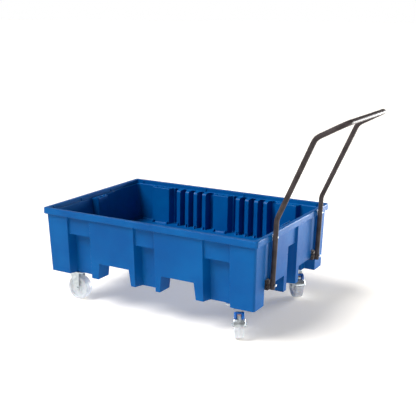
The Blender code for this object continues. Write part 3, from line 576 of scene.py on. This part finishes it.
def powder_coat():
    """Steel tube, powder coated anthracite: a dark warm grey, half gloss, its tone worn unevenly about
    40 mm apart, with the coat's orange peel about 2 mm across."""
    made, tree, shader = new_material("anthracite_powder_coat", "3b3637", 0.50, IOR=1.5,
                                      Specular_IOR_Level=0.13)
    place = [(add_node(tree, "ShaderNodeTexCoord").outputs["Object"], "Vector")]
    tone = add_node(tree, "ShaderNodeTexNoise", place, Scale=24.0, Detail=3.0)
    tint = add_node(tree, "ShaderNodeValToRGB", [(tone.outputs["Fac"], "Fac")],
                    stops=[(0.35, linear("383233")), (0.65, linear("484142"))])
    peel = add_node(tree, "ShaderNodeTexNoise", place, Scale=520.0, Detail=1.0)
    bump = add_node(tree, "ShaderNodeBump", [(peel.outputs["Fac"], "Height")],
                    Strength=0.12, Distance=0.0004)
    feed(tree, shader, Base_Color=tint.outputs["Color"], Normal=bump.outputs["Normal"])
    return made


def pedal_nylon():
    """Glass filled polyamide, injection moulded: strong blue, half gloss, and blotched and roughened by
    the fibres about 6 mm apart."""
    made, tree, shader = new_material("moulded_pedal_nylon", "0f5fb4", 0.36, IOR=1.53)
    place = [(add_node(tree, "ShaderNodeTexCoord").outputs["Object"], "Vector")]
    fibres = add_node(tree, "ShaderNodeTexNoise", place, Scale=160.0, Detail=3.0)
    tint = add_node(tree, "ShaderNodeValToRGB", [(fibres.outputs["Fac"], "Fac")],
                    stops=[(0.35, linear("0b54a4")), (0.65, linear("156cc2"))])
    bump = add_node(tree, "ShaderNodeBump", [(fibres.outputs["Fac"], "Height")],
                    Strength=0.12, Distance=0.0003)
    feed(tree, shader, Base_Color=tint.outputs["Color"], Normal=bump.outputs["Normal"])
    return made


def clip_nylon():
    """Unfilled polyamide in a copper tan: a small satin clip, paler in patches 4.5 mm apart where it is
    rubbed."""
    made, tree, shader = new_material("tan_clip_nylon", "b98a6c", 0.40, IOR=1.53)
    place = [(add_node(tree, "ShaderNodeTexCoord").outputs["Object"], "Vector")]
    rubbed = add_node(tree, "ShaderNodeTexNoise", place, Scale=220.0, Detail=2.0)
    tint = add_node(tree, "ShaderNodeValToRGB", [(rubbed.outputs["Fac"], "Fac")],
                    stops=[(0.35, linear("a97858")), (0.65, linear("cba082"))])
    feed(tree, shader, Base_Color=tint.outputs["Color"])
    return made


# ---- closed shapes ----
class Shell:
    """Points and faces of one piece, gathered from closed shapes."""

    def __init__(self):
        self.points, self.faces, self.count = [], [], 0

    def add(self, loops):
        """Closed loops laid one on another, an array of (loop, point, xyz), capped flat at both ends."""
        loops = np.asarray(loops)
        rows, columns = loops.shape[:2]
        first, last = self.count, self.count + (rows - 1) * columns
        self.faces += grid_faces(rows, columns, first)
        self.faces += [list(range(first, first + columns))[::-1], list(range(last, last + columns))]
        self.points.append(loops.reshape(-1, 3))
        self.count += rows * columns
        return self

    def add_ring(self, loops):
        """Closed loops that join up with each other again, as round a wheel."""
        loops = np.asarray(loops)
        rows, columns = loops.shape[:2]
        faces = np.array(grid_faces(rows + 1, columns))
        self.faces += (faces % (rows * columns) + self.count).tolist()
        self.points.append(loops.reshape(-1, 3))
        self.count += rows * columns
        return self

    def make(self, name, material, body, slot, place=Matrix(), sharp=35.0):
        """The piece as an object, put in place, with its faces turned outwards."""
        points = np.concatenate(self.points)
        spin, shift = np.array(place.to_3x3()), np.array(place.translation)
        piece = new_piece(name, (points @ spin.T + shift).tolist(), self.faces, material, body, sharp)
        bm = bmesh.new()
        bm.from_mesh(piece.data)
        bmesh.ops.recalc_face_normals(bm, faces=bm.faces)
        bm.to_mesh(piece.data)
        bm.free()
        piece.data.set_sharp_from_angle(angle=math.radians(sharp))
        return piece


def plate_loops(outline, low, high, edge):
    """A flat anticlockwise outline made into a plate from low to high along Z, its rims rounded: towards
    each face the outline is drawn in along its normals by a quarter round of the edge radius."""
    normals = outline_normals(outline)
    turns = np.radians([0.0, 45.0, 90.0])
    inset = edge * (1 - np.sin(turns))
    rise = edge * (1 - np.cos(turns))
    levels = list(zip(inset, low + rise)) + list(zip(inset[::-1], high - rise[::-1]))
    return [np.column_stack([outline - inward * normals, np.full(len(outline), z)]) for inward, z in levels]


def on_side(loops):
    """Turns loops drawn as (x, z, height) so that their height runs along Y."""
    loops = np.asarray(loops)
    return np.stack([loops[..., 0], loops[..., 2], loops[..., 1]], axis=-1)


def turned_loops(profile, steps):
    """A closed profile of (radius, height) at each of a full circle's turns about Z."""
    turns = np.linspace(0.0, 2 * math.pi, steps, endpoint=False)[:, None]
    radius, height = np.asarray(profile).T
    return np.stack([radius * np.cos(turns), radius * np.sin(turns), height + 0.0 * turns], axis=-1)


def rounded_outline(half_x, half_y, radius, centre=(0.0, 0.0), steps=5):
    """A rectangle with round corners, anticlockwise."""
    in_x, in_y = half_x - radius, half_y - radius
    corners = [(in_x, in_y, 0), (-in_x, in_y, 90), (-in_x, -in_y, 180), (in_x, -in_y, 270)]
    return np.concatenate([arc_points((centre[0] + x, centre[1] + y), radius, start, start + 90, steps)
                           for x, y, start in corners])


def soft_block(centre, size, radius, taper=0.0, steps=2):
    """A block with round edges: a sphere whose eight octants are moved apart to the block's corners. Its
    top is narrower by the taper's share."""
    half = np.asarray(size) / 2 - radius
    polar = np.radians(np.concatenate([np.linspace(2, 90, steps + 1), np.linspace(90, 178, steps + 1)]))
    up = np.repeat([-1.0, 1.0], steps + 1)
    quarter = np.linspace(0, 90, steps + 1)
    turn = np.radians(np.concatenate([quarter, quarter + 90, quarter + 180, quarter + 270]))
    side_x = np.repeat([1.0, -1.0, -1.0, 1.0], steps + 1)
    side_y = np.repeat([1.0, 1.0, -1.0, -1.0], steps + 1)
    narrow = 1 - taper * (up[:, None] + 1) / 2
    x = radius * np.sin(polar)[:, None] * np.cos(turn) + side_x * half[0] * narrow
    y = radius * np.sin(polar)[:, None] * np.sin(turn) + side_y * half[1] * narrow
    z = (-radius * np.cos(polar) + up * half[2])[:, None] + 0.0 * turn
    return np.stack([x, y, z], axis=-1) + np.asarray(centre)


# ---- castors ----
STEEL = 0.003
SIDE_PLAY = 0.0015
FORK_EYE = 0.0125  # radius of a leg's round foot
FORK_TOP, FORK_SHIFT = 0.029, 0.017  # half length of a leg's top, and how far back of the axle it sits
HUB_RADIUS = 0.019
LEVER_THICK = 0.002
STRAP_SPAN = (18.0, 42.0)  # degrees up from level round the axle, as are the pedal's
PEDAL_SPAN = (45.0, 71.0)
PEDAL_WIDTH = 0.048
LEVER_GAP = 0.0003  # between a fork leg and the lever's arm
EYE_RADIUS = 0.011
ARM_START = 0.009  # where the lever's arms leave their eyes
PLATE_CORNER, PLATE_EDGE = 0.008, 0.0009
STEEL_EDGE = 0.0006
RACE_BORE = 0.0078
SLOT_SHARE = 0.62  # how much of the pedal's height its slot takes
JOINTS = {joint["name"]: joint for joint in frame["joints"]}

wheel_low, wheel_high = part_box("front_left_wheel")
WHEEL_RADIUS = (wheel_high.z - wheel_low.z) / 2
WHEEL_HALF = (wheel_high.y - wheel_low.y) / 2
LEG_INSIDE = WHEEL_HALF + SIDE_PLAY
LEG_OUTSIDE = LEG_INSIDE + STEEL
plate_low, plate_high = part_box("front_right_top_plate")
PLATE_Z = (plate_low.z, plate_high.z)
PLATE_HALF = ((plate_high.x - plate_low.x) / 2, (plate_high.y - plate_low.y) / 2)
LEVER_REACH = WHEEL_RADIUS + 0.003


def axle_frame(spin_joint):
    """A matrix from the wheel's own axes to the dolly: X ahead of the axle, Y along it, Z up."""
    joint = JOINTS[spin_joint]
    along = Vector(joint["axis"])
    ahead = along.cross(Vector((0.0, 0.0, 1.0)))
    turn = Matrix((ahead, along, Vector((0.0, 0.0, 1.0)))).transposed().to_4x4()
    return Matrix.Translation(joint["pos_m"]) @ turn


def wheel_profile():
    """Half section of the wheel from its bore to the middle of its tread, then mirrored: chamfered hub,
    filleted dish, flat ring with a fine groove, round shoulder, tread with a moulding line."""
    half = WHEEL_HALF
    bore, chamfer = 0.0088, 0.001
    edge, fillet, shoulder = 0.0015, 0.002, 0.006
    web, ring = half - 0.007, WHEEL_RADIUS - 0.014
    groove, groove_in = np.array([0.0035, 0.0040, 0.0050, 0.0055]), np.array([0.0, 0.0005, 0.0005, 0.0])
    section = np.concatenate([
        [(bore, half - chamfer), (bore + chamfer, half)],
        arc_points((HUB_RADIUS - edge, half - edge), edge, 90, 20, 3),
        arc_points((HUB_RADIUS + 0.005, web + fillet), fillet, 200, 270, 3),
        arc_points((ring - 0.006, web + fillet), fillet, 270, 340, 3),
        arc_points((ring, half - edge), edge, 160, 90, 3),
        np.column_stack([ring + groove, half - groove_in]),
        arc_points((WHEEL_RADIUS - 0.0065, half - shoulder), shoulder, 88, 4, 6),
        [(WHEEL_RADIUS - 0.0004, half * 0.5), (WHEEL_RADIUS - 0.0002, 0.0006), (WHEEL_RADIUS, 0.0002)]])
    return np.concatenate([section, section[::-1] * (1.0, -1.0)])


def make_wheel(name, material):
    """The wheel's profile turned about Z, then laid over so that its axle is along Y."""
    loops = turned_loops(wheel_profile(), 72)
    loops = np.stack([loops[..., 0], -loops[..., 2], loops[..., 1]], axis=-1)
    piece = Shell().add_ring(loops).make(f"{name}_nylon_wheel", material, f"{name}_wheel", "white_nylon",
                                         axle_frame(f"{name}_wheel_spin"))
    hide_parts(f"{name}_wheel")


def leg_loops(side, top, flare):
    """A fork leg as level loops from its round eye up. Its edges run straight to 10 mm below the top and
    then upright, the back one sloping far out; the front 6 mm are turned out by the flare."""
    eye = -FORK_EYE * np.cos(np.radians(80 * np.linspace(0.0, 1.0, 7)))
    straight = top - 0.010
    z = np.concatenate([eye, np.linspace(eye[-1], straight, 10)[1:], [top - 0.005, top]])
    reach = np.sqrt(np.maximum(FORK_EYE ** 2 - np.minimum(z, 0.0) ** 2, STEEL_EDGE ** 2))
    climb = np.clip(z / straight, 0.0, 1.0)
    back = -(reach + (FORK_TOP + FORK_SHIFT - FORK_EYE) * climb)
    front = reach + (FORK_TOP - FORK_SHIFT - FORK_EYE) * climb
    share = np.array([0.0, 0.03, 0.3, 0.6, 0.80, 0.90, 0.97, 1.0])
    across = back[:, None] + (front - back)[:, None] * share
    turned = 0.006
    bend = flare * np.clip((across - front[:, None] + turned) / turned, 0.0, 1.0) ** 2
    bend = bend * climb[:, None] ** 0.3
    edge = STEEL_EDGE * np.array([1, 0, 0, 0, 0, 0, 0, 1])
    outer = LEG_OUTSIDE - edge + bend
    inner = LEG_INSIDE + edge + bend
    x = np.concatenate([across, across[:, ::-1]], axis=1)
    y = side * np.concatenate([outer, inner[:, ::-1]], axis=1)
    return np.stack([x, y, z[:, None] + 0.0 * x], axis=-1)


def make_fixed_fork(name, material):
    """A rigid castor's pressing: its plate with round corners, and two legs that run out of it through a
    thicker root."""
    place = axle_frame(f"{name}_wheel_spin")
    low, high = PLATE_Z[0] - WHEEL_RADIUS, PLATE_Z[1] - WHEEL_RADIUS
    shell = Shell().add(plate_loops(rounded_outline(*PLATE_HALF, PLATE_CORNER), low, high, PLATE_EDGE))
    sunk, flare = 0.002, 0.0008
    root_half, root_corner, root_drop, root_edge = 0.0035, 0.003, 0.0035, 0.0016
    for side in (-1, 1):
        shell.add(leg_loops(side, low + sunk, flare))
        root = rounded_outline(FORK_TOP, root_half, root_corner, (-FORK_SHIFT, side * (LEG_OUTSIDE - 0.002)))
        shell.add(plate_loops(root, low - root_drop, low + 0.001, root_edge))
    piece = shell.make(f"{name}_fork_pressing", material, "trolley", "zinc_plated_steel", place)
    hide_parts(f"{name}_fixed_fork")


def make_swivel_head(name, material):
    """The top plate with round corners, and the ball race as two turned rings with a dust groove between
    them."""
    low, high = (np.array(corner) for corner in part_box(f"{name}_top_plate"))
    centre = Matrix.Translation(((low[0] + high[0]) / 2, (low[1] + high[1]) / 2, 0.0))
    plate = Shell().add(plate_loops(rounded_outline(*PLATE_HALF, PLATE_CORNER), *PLATE_Z, PLATE_EDGE))
    plate = plate.make(f"{name}_plate_pressing", material, "trolley", "zinc_plated_steel", centre)
    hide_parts(f"{name}_top_plate")
    race_low, race_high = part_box(f"{name}_ball_race")
    radius, under, over = (race_high.x - race_low.x) / 2, race_low.z, race_high.z
    groove = (over + under) / 2
    profile = [(RACE_BORE, over), (radius - 0.002, over), (radius, over - 0.0015), (radius, groove + 0.0006),
               (radius - 0.002, groove + 0.0003), (radius - 0.002, groove - 0.0003),
               (radius - 0.0005, groove - 0.0006), (radius - 0.001, under + 0.0020),
               (radius - 0.005, under), (RACE_BORE, under)]
    race = Shell().add_ring(turned_loops(profile, 56))
    race = race.make(f"{name}_race_rings", material, "trolley", "zinc_plated_steel", centre)
    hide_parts(f"{name}_ball_race")


def make_swivel_fork(name, material):
    """The turning fork: a flat crown, round under the race and square at its front, and the two legs."""
    place = axle_frame(f"{name}_wheel_spin")
    pivot = place.inverted() @ Vector(JOINTS[f"{name}_swivel_turn"]["pos_m"])
    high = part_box(f"{name}_swivel_fork")[1].z - WHEEL_RADIUS
    low = high - STEEL
    radius, cut, play = 0.033, 0.004, 0.0005
    crown = arc_points((pivot.x, 0.0), radius, 40, 320, 28)
    reach, half = FORK_TOP - FORK_SHIFT - play, LEG_OUTSIDE - play
    front = [(reach - cut, -half), (reach, cut - half), (reach, half - cut), (reach - cut, half)]
    shell = Shell().add(plate_loops(np.concatenate([crown, front]), low, high, 0.0008))
    for side in (-1, 1):
        shell.add(leg_loops(side, high - STEEL_EDGE, 0.0))
    piece = shell.make(f"{name}_fork_pressing", material, f"{name}_swivel", "zinc_plated_steel", place)
    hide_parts(f"{name}_swivel_fork")


def lever_band(half_width):
    """The brake lever as one bent band. It is carried in plan from the left arm's end forward, round a
    corner, across the wheel's front and back: its radius from the axle and its place across come from the
    plan path, and its two edges are at angles up from level that open from the eye to the strap."""
    corner = 0.007
    reach = LEVER_REACH + LEVER_THICK / 2
    arm = np.linspace(ARM_START, reach - corner, 6)
    left = np.column_stack([arm, np.full(6, -half_width)])
    turn = arc_points((reach - corner, -half_width + corner), corner, -90, 0, 5)
    path = np.concatenate([left, turn])
    path = np.concatenate([path, (path * (1.0, -1.0))[::-1]])
    ahead = np.gradient(path, axis=0)
    ahead /= np.linalg.norm(ahead, axis=1, keepdims=True)
    normal = np.column_stack([ahead[:, 1], -ahead[:, 0]])
    growth = np.clip((path[:, 0] - ARM_START) / (reach - ARM_START), 0.0, 1.0)
    low = STRAP_SPAN[0] - 66.0 * (1 - growth) ** 2
    high = STRAP_SPAN[1] + 50.0 * (1 - growth) ** 2
    share = np.array([0.0, 0.06, 0.35, 0.65, 0.94, 1.0])
    thick = LEVER_THICK / 2 * np.array([0.5, 1, 1, 1, 1, 0.5])
    loops = []
    for way, order in ((1.0, share), (-1.0, share[::-1])):
        angle = np.radians(low[:, None] + (high - low)[:, None] * order)
        radius = path[:, :1] + way * thick * normal[:, :1]
        across = path[:, 1:] + way * thick * normal[:, 1:]
        flat, rise = radius * np.cos(angle), radius * np.sin(angle)
        loops.append(np.stack([flat, across + 0.0 * angle, rise], axis=-1))
    return np.concatenate(loops, axis=1)


def pedal_loops(half, span, inner, face):
    """A block bent round the axle: at each angle a loop across the axle, its front at the face's radius
    for that angle and place across, its back at the inner radius."""
    angles = np.linspace(*span, 22)
    across = half * np.sin(np.radians(np.linspace(-90, 90, 35)))
    front = face(angles[:, None], across[None, :])
    radius = np.concatenate([front, np.full_like(front, inner)[:, ::-1]], axis=1)
    turn = np.radians(angles)[:, None]
    y = np.concatenate([across, across[::-1]]) + 0.0 * radius
    return np.stack([radius * np.cos(turn), y, radius * np.sin(turn)], axis=-1)


def make_brake(name, zinc, blue, tan):
    """Brake lever with its two eyes and its tongue, the blue pedal, and the tan clip in the pedal's slot."""
    place = axle_frame(f"{name}_wheel_spin")
    body = f"{name}_brake"
    half_width = LEG_OUTSIDE + LEVER_GAP + LEVER_THICK / 2
    lever = Shell().add(lever_band(half_width))
    eye = arc_points((0.0, 0.0), EYE_RADIUS, 0, 360, 28)[:-1]
    for middle in (-half_width, half_width):
        lever.add(on_side(plate_loops(eye, middle - LEVER_THICK / 2, middle + LEVER_THICK / 2, 0.0005)))
    inner, outer = LEVER_REACH - LEVER_THICK / 2, LEVER_REACH + 0.018
    low, high = PEDAL_SPAN
    slot = PEDAL_WIDTH / 2 - 0.0105
    clip_half = 0.0095

    def tongue_face(angle, y):
        """Radius of the tongue's face: flat across, with a 6 mm step up over 8 degrees."""
        return LEVER_REACH + 0.0035 + 0.006 * soft_ramp(angle - 47.0, 8.0, 2.0) + 0.0 * y

    lever.add(pedal_loops(0.0085, (38.0, 57.0), LEVER_REACH + 0.0005, tongue_face))
    lever = lever.make(f"{name}_lever_band", zinc, body, "zinc_plated_steel", place)
    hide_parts(f"{name}_brake_lever")

    def pedal_face(angle, y):
        """Radius of the pedal's face: it rises over its lowest third to a crest and falls again near the
        top, with quarter rounds at both ends, three ribs of a squared sine near the top, and a slot open
        at the bottom that leaves 3 mm of back."""
        third = (high - low) / 3
        crest = soft_ramp(angle - low, third, 2.0) * soft_ramp(high - angle, third * 0.6, 2.0)
        full = inner + (outer - inner) * (0.45 + 0.55 * crest)
        full = full - fillet_curve(PEDAL_WIDTH / 2 - np.abs(y), 0.003)
        opened = soft_ramp(slot - np.abs(y), 0.001, 0.001)
        opened = opened * soft_ramp(low + SLOT_SHARE * (high - low) - angle, 1.5, 1.0)
        ribbed = np.clip((angle - low - 0.66 * (high - low)) / 8.0, 0.0, 1.0)
        ribs = 0.0006 * np.sin(ribbed * math.pi * 3) ** 2
        return full + ribs - (full - inner - 0.003) * opened

    pedal = Shell().add(pedal_loops(PEDAL_WIDTH / 2, PEDAL_SPAN, inner, pedal_face))
    pedal = pedal.make(f"{name}_pedal_moulding", blue, body, "blue_nylon", place)
    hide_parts(f"{name}_brake_pedal")

    def clip_face(angle, y):
        """Radius of the clip's face: flat, with quarter rounds at both ends."""
        return LEVER_REACH + 0.0095 - fillet_curve(clip_half - np.abs(y), 0.002) + 0.0 * angle

    clip = Shell().add(pedal_loops(clip_half, (56.0, 61.5), LEVER_REACH + 0.001, clip_face))
    clip.make(f"{name}_pedal_clip", tan, body, "blue_nylon", place)


# ---- push handle ----
TUBE_RADIUS = 0.0119
TUBE_HALF_SPREAD = 0.2575
TUBE_CHAMFER = 0.0015
TUBE_PROFILE = [(0.003, -0.262), (0.018, 0.068), (0.190, 0.447), (0.324, 0.5175)]  # out from and over the rim
BENDS = [0.060, 0.060, 0.050, 0.050, 0.060, 0.060]


def bent_route(corners, radii, steps=14):
    """A route through corners, each replaced by a circular arc of its radius."""
    corners = [Vector(corner) for corner in corners]
    route = [corners[0]]
    for before, corner, after, radius in zip(corners, corners[1:], corners[2:], radii):
        back, ahead = (before - corner).normalized(), (after - corner).normalized()
        half = back.angle(ahead) / 2
        centre = corner + (back + ahead).normalized() * (radius / math.sin(half))
        start = corner + back * (radius / math.tan(half)) - centre
        end = corner + ahead * (radius / math.tan(half)) - centre
        route += [centre + start.slerp(end, i / steps).normalized() * radius for i in range(steps + 1)]
    return np.array([list(point) for point in route + [corners[-1]]])


def tube_loops(route, radius, sides=28):
    """A circle carried along a route: each circle lies across the local direction, turned by the least
    angle from the one before, and the two end circles are smaller by the chamfer."""
    ahead = np.gradient(route, axis=0)
    ahead /= np.linalg.norm(ahead, axis=1, keepdims=True)
    side = np.empty_like(route)
    side[0] = np.cross(ahead[0], (0.0, 1.0, 0.0))
    for i in range(1, len(route)):
        side[i] = side[i - 1] - ahead[i] * (side[i - 1] @ ahead[i])
        side[i] /= np.linalg.norm(side[i])
    other = np.cross(ahead, side)
    turns = np.linspace(0.0, 2 * math.pi, sides, endpoint=False)[None, :, None]
    radii = np.full(len(route), radius)
    radii[[0, -1]] = radius - TUBE_CHAMFER
    circle = np.cos(turns) * side[:, None] + np.sin(turns) * other[:, None]
    return route[:, None] + radii[:, None, None] * circle


def with_chamfer_points(route):
    """The route with an extra point just inside each end, where the end's chamfer starts."""
    first = route[0] + (route[1] - route[0]) / np.linalg.norm(route[1] - route[0]) * TUBE_CHAMFER
    last = route[-1] + (route[-2] - route[-1]) / np.linalg.norm(route[-2] - route[-1]) * TUBE_CHAMFER
    return np.concatenate([route[:1], first[None], route[1:-1], last[None], route[-1:]])


def make_handle(material):
    """One tube up the end wall, out to the grip, across, and back down on the other side."""
    rim_edge = tub_high[0]
    side = [(rim_edge + out, -TUBE_HALF_SPREAD, RIM_Z + rise) for out, rise in TUBE_PROFILE]
    other = [(x, -y, z) for x, y, z in reversed(side)]
    route = with_chamfer_points(bent_route(side + other, BENDS))
    handle = Shell().add(tube_loops(route, TUBE_RADIUS))
    piece = handle.make("push_handle_tube", material, "trolley", "anthracite_powder_coat")
    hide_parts("push_handle")


# ---- small mouldings inside the tub ----
def facing_blocks(wall, along, depth, z, size, radius, taper=0.0):
    """The same small block by both walls of a kind, given its place along them and in from the rim edge."""
    if wall == "long":
        places = [(along, side * (HALF[1] - depth), z) for side in (-1, 1)]
    else:
        places = [(side * (HALF[0] - depth), along, z) for side in (-1, 1)]
        size = (size[1], size[0], size[2])
    return [soft_block(place, size, radius, taper) for place in places]


def make_tub_mouldings(material):
    """Nubs on the ledge over each inner panel, locating ribs on the upstand, gussets at the foot of each
    fin and drum stops at the foot of each panel."""
    blocks = []
    nub_depth, nub_z, nub_spread = RIM_FACE + LEDGE + 0.022, LEDGE_Z + 0.0015, 0.30
    foot_z, panel_foot = FLOOR_Z + 0.007, PANEL_FACE + lean(FLOOR_Z)
    for middle, width in POCKETS["long"]:
        for step in (-1, 0, 1):
            blocks += facing_blocks("long", middle + step * width * nub_spread, nub_depth, nub_z,
                                    (0.026, 0.007, 0.007), 0.0015)
        for step in (-1, 1):
            blocks += facing_blocks("long", middle + step * (width / 2 - 0.022), panel_foot + 0.006, foot_z,
                                    (0.012, 0.016, 0.018), 0.003, 0.35)
    for step in (-1, 0, 1):
        blocks += facing_blocks("end", step * END_POCKET * nub_spread, nub_depth, nub_z,
                                (0.024, 0.007, 0.007), 0.0015)
    for wall, inner in (("long", 0.12), ("end", 0.13)):
        outer = (HALF[0] if wall == "long" else HALF[1]) - 0.062
        for along in (-outer, outer, -inner, inner):
            blocks += facing_blocks(wall, along, RIM_FACE + 0.0015, LEDGE_Z + 0.0085,
                                    (0.006, 0.006, 0.019), 0.0014)
    for middle in FINS["long"]:
        blocks += facing_blocks("long", middle, panel_foot + 0.004, foot_z,
                                (0.007, 0.014, 0.020), 0.0022, 0.3)
    shell = Shell()
    for block in blocks:
        shell.add(block + (TUB_CENTRE[0], TUB_CENTRE[1], 0.0))
    shell.make("tub_inside_mouldings", material, "trolley", "blue_polyethylene")


def make_plate_bolts(material):
    """Heads of the castor plates' bolts: a hexagon drawn in towards its free end, and a round washer face
    above it, against the plate."""
    for node in (name for name in frame["nodes"] if "plate_bolt" in name):
        low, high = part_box(node)
        across = (high.y - low.y) / 2
        head = PLATE_Z[0] - low.z
        turns = np.radians(np.arange(6) * 60)
        hexagon = np.column_stack([np.cos(turns), np.sin(turns)]) * (high.x - low.x) / 2
        levels = [(0.84, 0.0), (0.97, head * 0.22), (1.0, head * 0.34), (1.0, head * 0.88)]
        loops = [np.column_stack([hexagon * scale, np.full(6, height)]) for scale, height in levels]
        radius, hole = across * 0.95, 0.0012
        washer = turned_loops([(radius, head), (radius, head * 0.9), (hole, head * 0.9), (hole, head)], 32)
        centre = Matrix.Translation(((low.x + high.x) / 2, (low.y + high.y) / 2, low.z))
        bolt = Shell().add(np.array(loops)).add_ring(washer)
        bolt = bolt.make(f"{node}_head", material, "trolley", "zinc_plated_steel", centre)
        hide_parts(node)


def finish_fasteners(nodes, material, width=0.0004):
    """A CAD piece keeps its mesh; its loose corners are merged and its edges broken by a small bevel."""
    for node in nodes:
        item = frame["nodes"][node]
        item.data.materials.clear()
        item.data.materials.append(material)
        weld = item.modifiers.new("weld", "WELD")
        weld.merge_threshold = SAME_POINT / 2
        bevel = item.modifiers.new("broken_edges", "BEVEL")
        bevel.width = width
        bevel.segments = 2
        bevel.angle_limit = math.radians(40)
        item.data.shade_smooth()
        bevel.harden_normals = True


# ---- the dolly ----
POLYETHYLENE = moulded_polyethylene()
NYLON = turned_nylon()
ZINC = zinc_plate()
POWDER = powder_coat()
PEDAL_BLUE = pedal_nylon()
CLIP_TAN = clip_nylon()
build_tub(POLYETHYLENE)
make_tub_mouldings(POLYETHYLENE)
make_handle(POWDER)
for corner in ("front_left", "back_left", "front_right", "back_right"):
    make_wheel(corner, NYLON)
for corner in ("front_left", "back_left"):
    make_fixed_fork(corner, ZINC)
for corner in ("front_right", "back_right"):
    make_swivel_head(corner, ZINC)
    make_swivel_fork(corner, ZINC)
    make_brake(corner, ZINC, PEDAL_BLUE, CLIP_TAN)
make_plate_bolts(ZINC)
FASTENERS = [node for node in frame["nodes"] if node.endswith(("axle_bolt", "nut", "sleeve", "kingpin"))]
FASTENERS += [node for node in frame["nodes"] if node.startswith(("handle_foot_bolt", "handle_rim_bolt"))]
finish_fasteners(FASTENERS, ZINC)
finish_fasteners(["handle_foot_bracket_front", "handle_foot_bracket_back"], POWDER, 0.0008)


# ---- stage ----
CAMERA_IN_TUB_FRAME = (2.0608, -3.2978, 1.4640)
CAMERA_AZIMUTH, CAMERA_ELEVATION = 30.448, 14.214
CAMERA_LENS = 67.54


def set_camera():
    """A long lens from the front right, higher than the grip, looking a little down and level across."""
    data = bpy.data.cameras.new("camera")
    data.lens = CAMERA_LENS
    data.sensor_width = 36.0
    camera = bpy.data.objects.new("camera", data)
    camera.location = Vector(CAMERA_IN_TUB_FRAME) + Vector((TUB_CENTRE[0], 0.0, 0.0))
    camera.rotation_euler = (math.radians(90 - CAMERA_ELEVATION), 0.0, math.radians(CAMERA_AZIMUTH))
    bpy.context.scene.collection.objects.link(camera)
    bpy.context.scene.camera = camera


def area_light(name, place, target, size, power):
    """A white rectangle of light at a place, turned to face a target."""
    data = bpy.data.lights.new(name, "AREA")
    data.shape = "RECTANGLE"
    data.size, data.size_y = size
    data.energy = power
    light = bpy.data.objects.new(name, data)
    light.location = place
    light.rotation_euler = (Vector(target) - Vector(place)).to_track_quat("-Z", "Y").to_euler()
    bpy.context.scene.collection.objects.link(light)


def sun_light(name, toward, softness, power):
    """A distant soft white light; toward points at it, softness is its width in degrees."""
    data = bpy.data.lights.new(name, "SUN")
    data.energy = power
    data.angle = math.radians(softness)
    light = bpy.data.objects.new(name, data)
    light.rotation_euler = Vector(toward).to_track_quat("Z", "Y").to_euler()
    bpy.context.scene.collection.objects.link(light)


def make_surroundings():
    """A studio whose walls are white at eye level and darker overhead, so the sump stays deeper in tone."""
    world = bpy.data.worlds.new("studio")
    world.use_nodes = True
    tree = world.node_tree
    place = add_node(tree, "ShaderNodeTexCoord")
    split = add_node(tree, "ShaderNodeSeparateXYZ", [(place.outputs["Generated"], "Vector")])
    ramp = add_node(tree, "ShaderNodeValToRGB", [(split.outputs["Z"], "Fac")],
                    stops=[(0.04, (1.0, 1.0, 1.0, 1.0)), (0.50, (0.085, 0.08, 0.075, 1.0)),
                           (0.18, (0.34, 0.33, 0.32, 1.0))])
    background = tree.nodes["Background"]
    tree.links.new(ramp.outputs["Color"], background.inputs["Color"])
    background.inputs["Strength"].default_value = 1.0
    bpy.context.scene.world = world


def make_stage():
    """A pale floor that glows faintly, a soft distant key from the front left, a broad panel behind the
    right end that grazes the end wall, and a small low one at the right that lights the rear castor."""
    mesh = bpy.data.meshes.new("floor")
    mesh.from_pydata([(-90, -90, 0), (90, -90, 0), (90, 90, 0), (-90, 90, 0)], [], [(0, 1, 2, 3)])
    material, _, _ = new_material("pale_floor", "f4f0ea", 0.9, Emission_Color=(1.0, 0.96, 0.90, 1.0),
                                  Emission_Strength=0.24)
    mesh.materials.append(material)
    floor = bpy.data.objects.new("floor", mesh)
    bpy.context.scene.collection.objects.link(floor)
    make_surroundings()
    sun_light("key", (-0.56, -0.66, 1.14), 34.0, 3.8)
    area_light("right_panel", (1.9, 3.6, 0.45), (0.45, 0.0, 0.3), (2.0, 0.9), 250)
    area_light("low_fill", (2.0, -0.5, 0.16), (0.33, 0.31, 0.06), (0.5, 0.22), 4)


set_camera()
make_stage()
bpy.context.scene.view_settings.view_transform = "Standard"
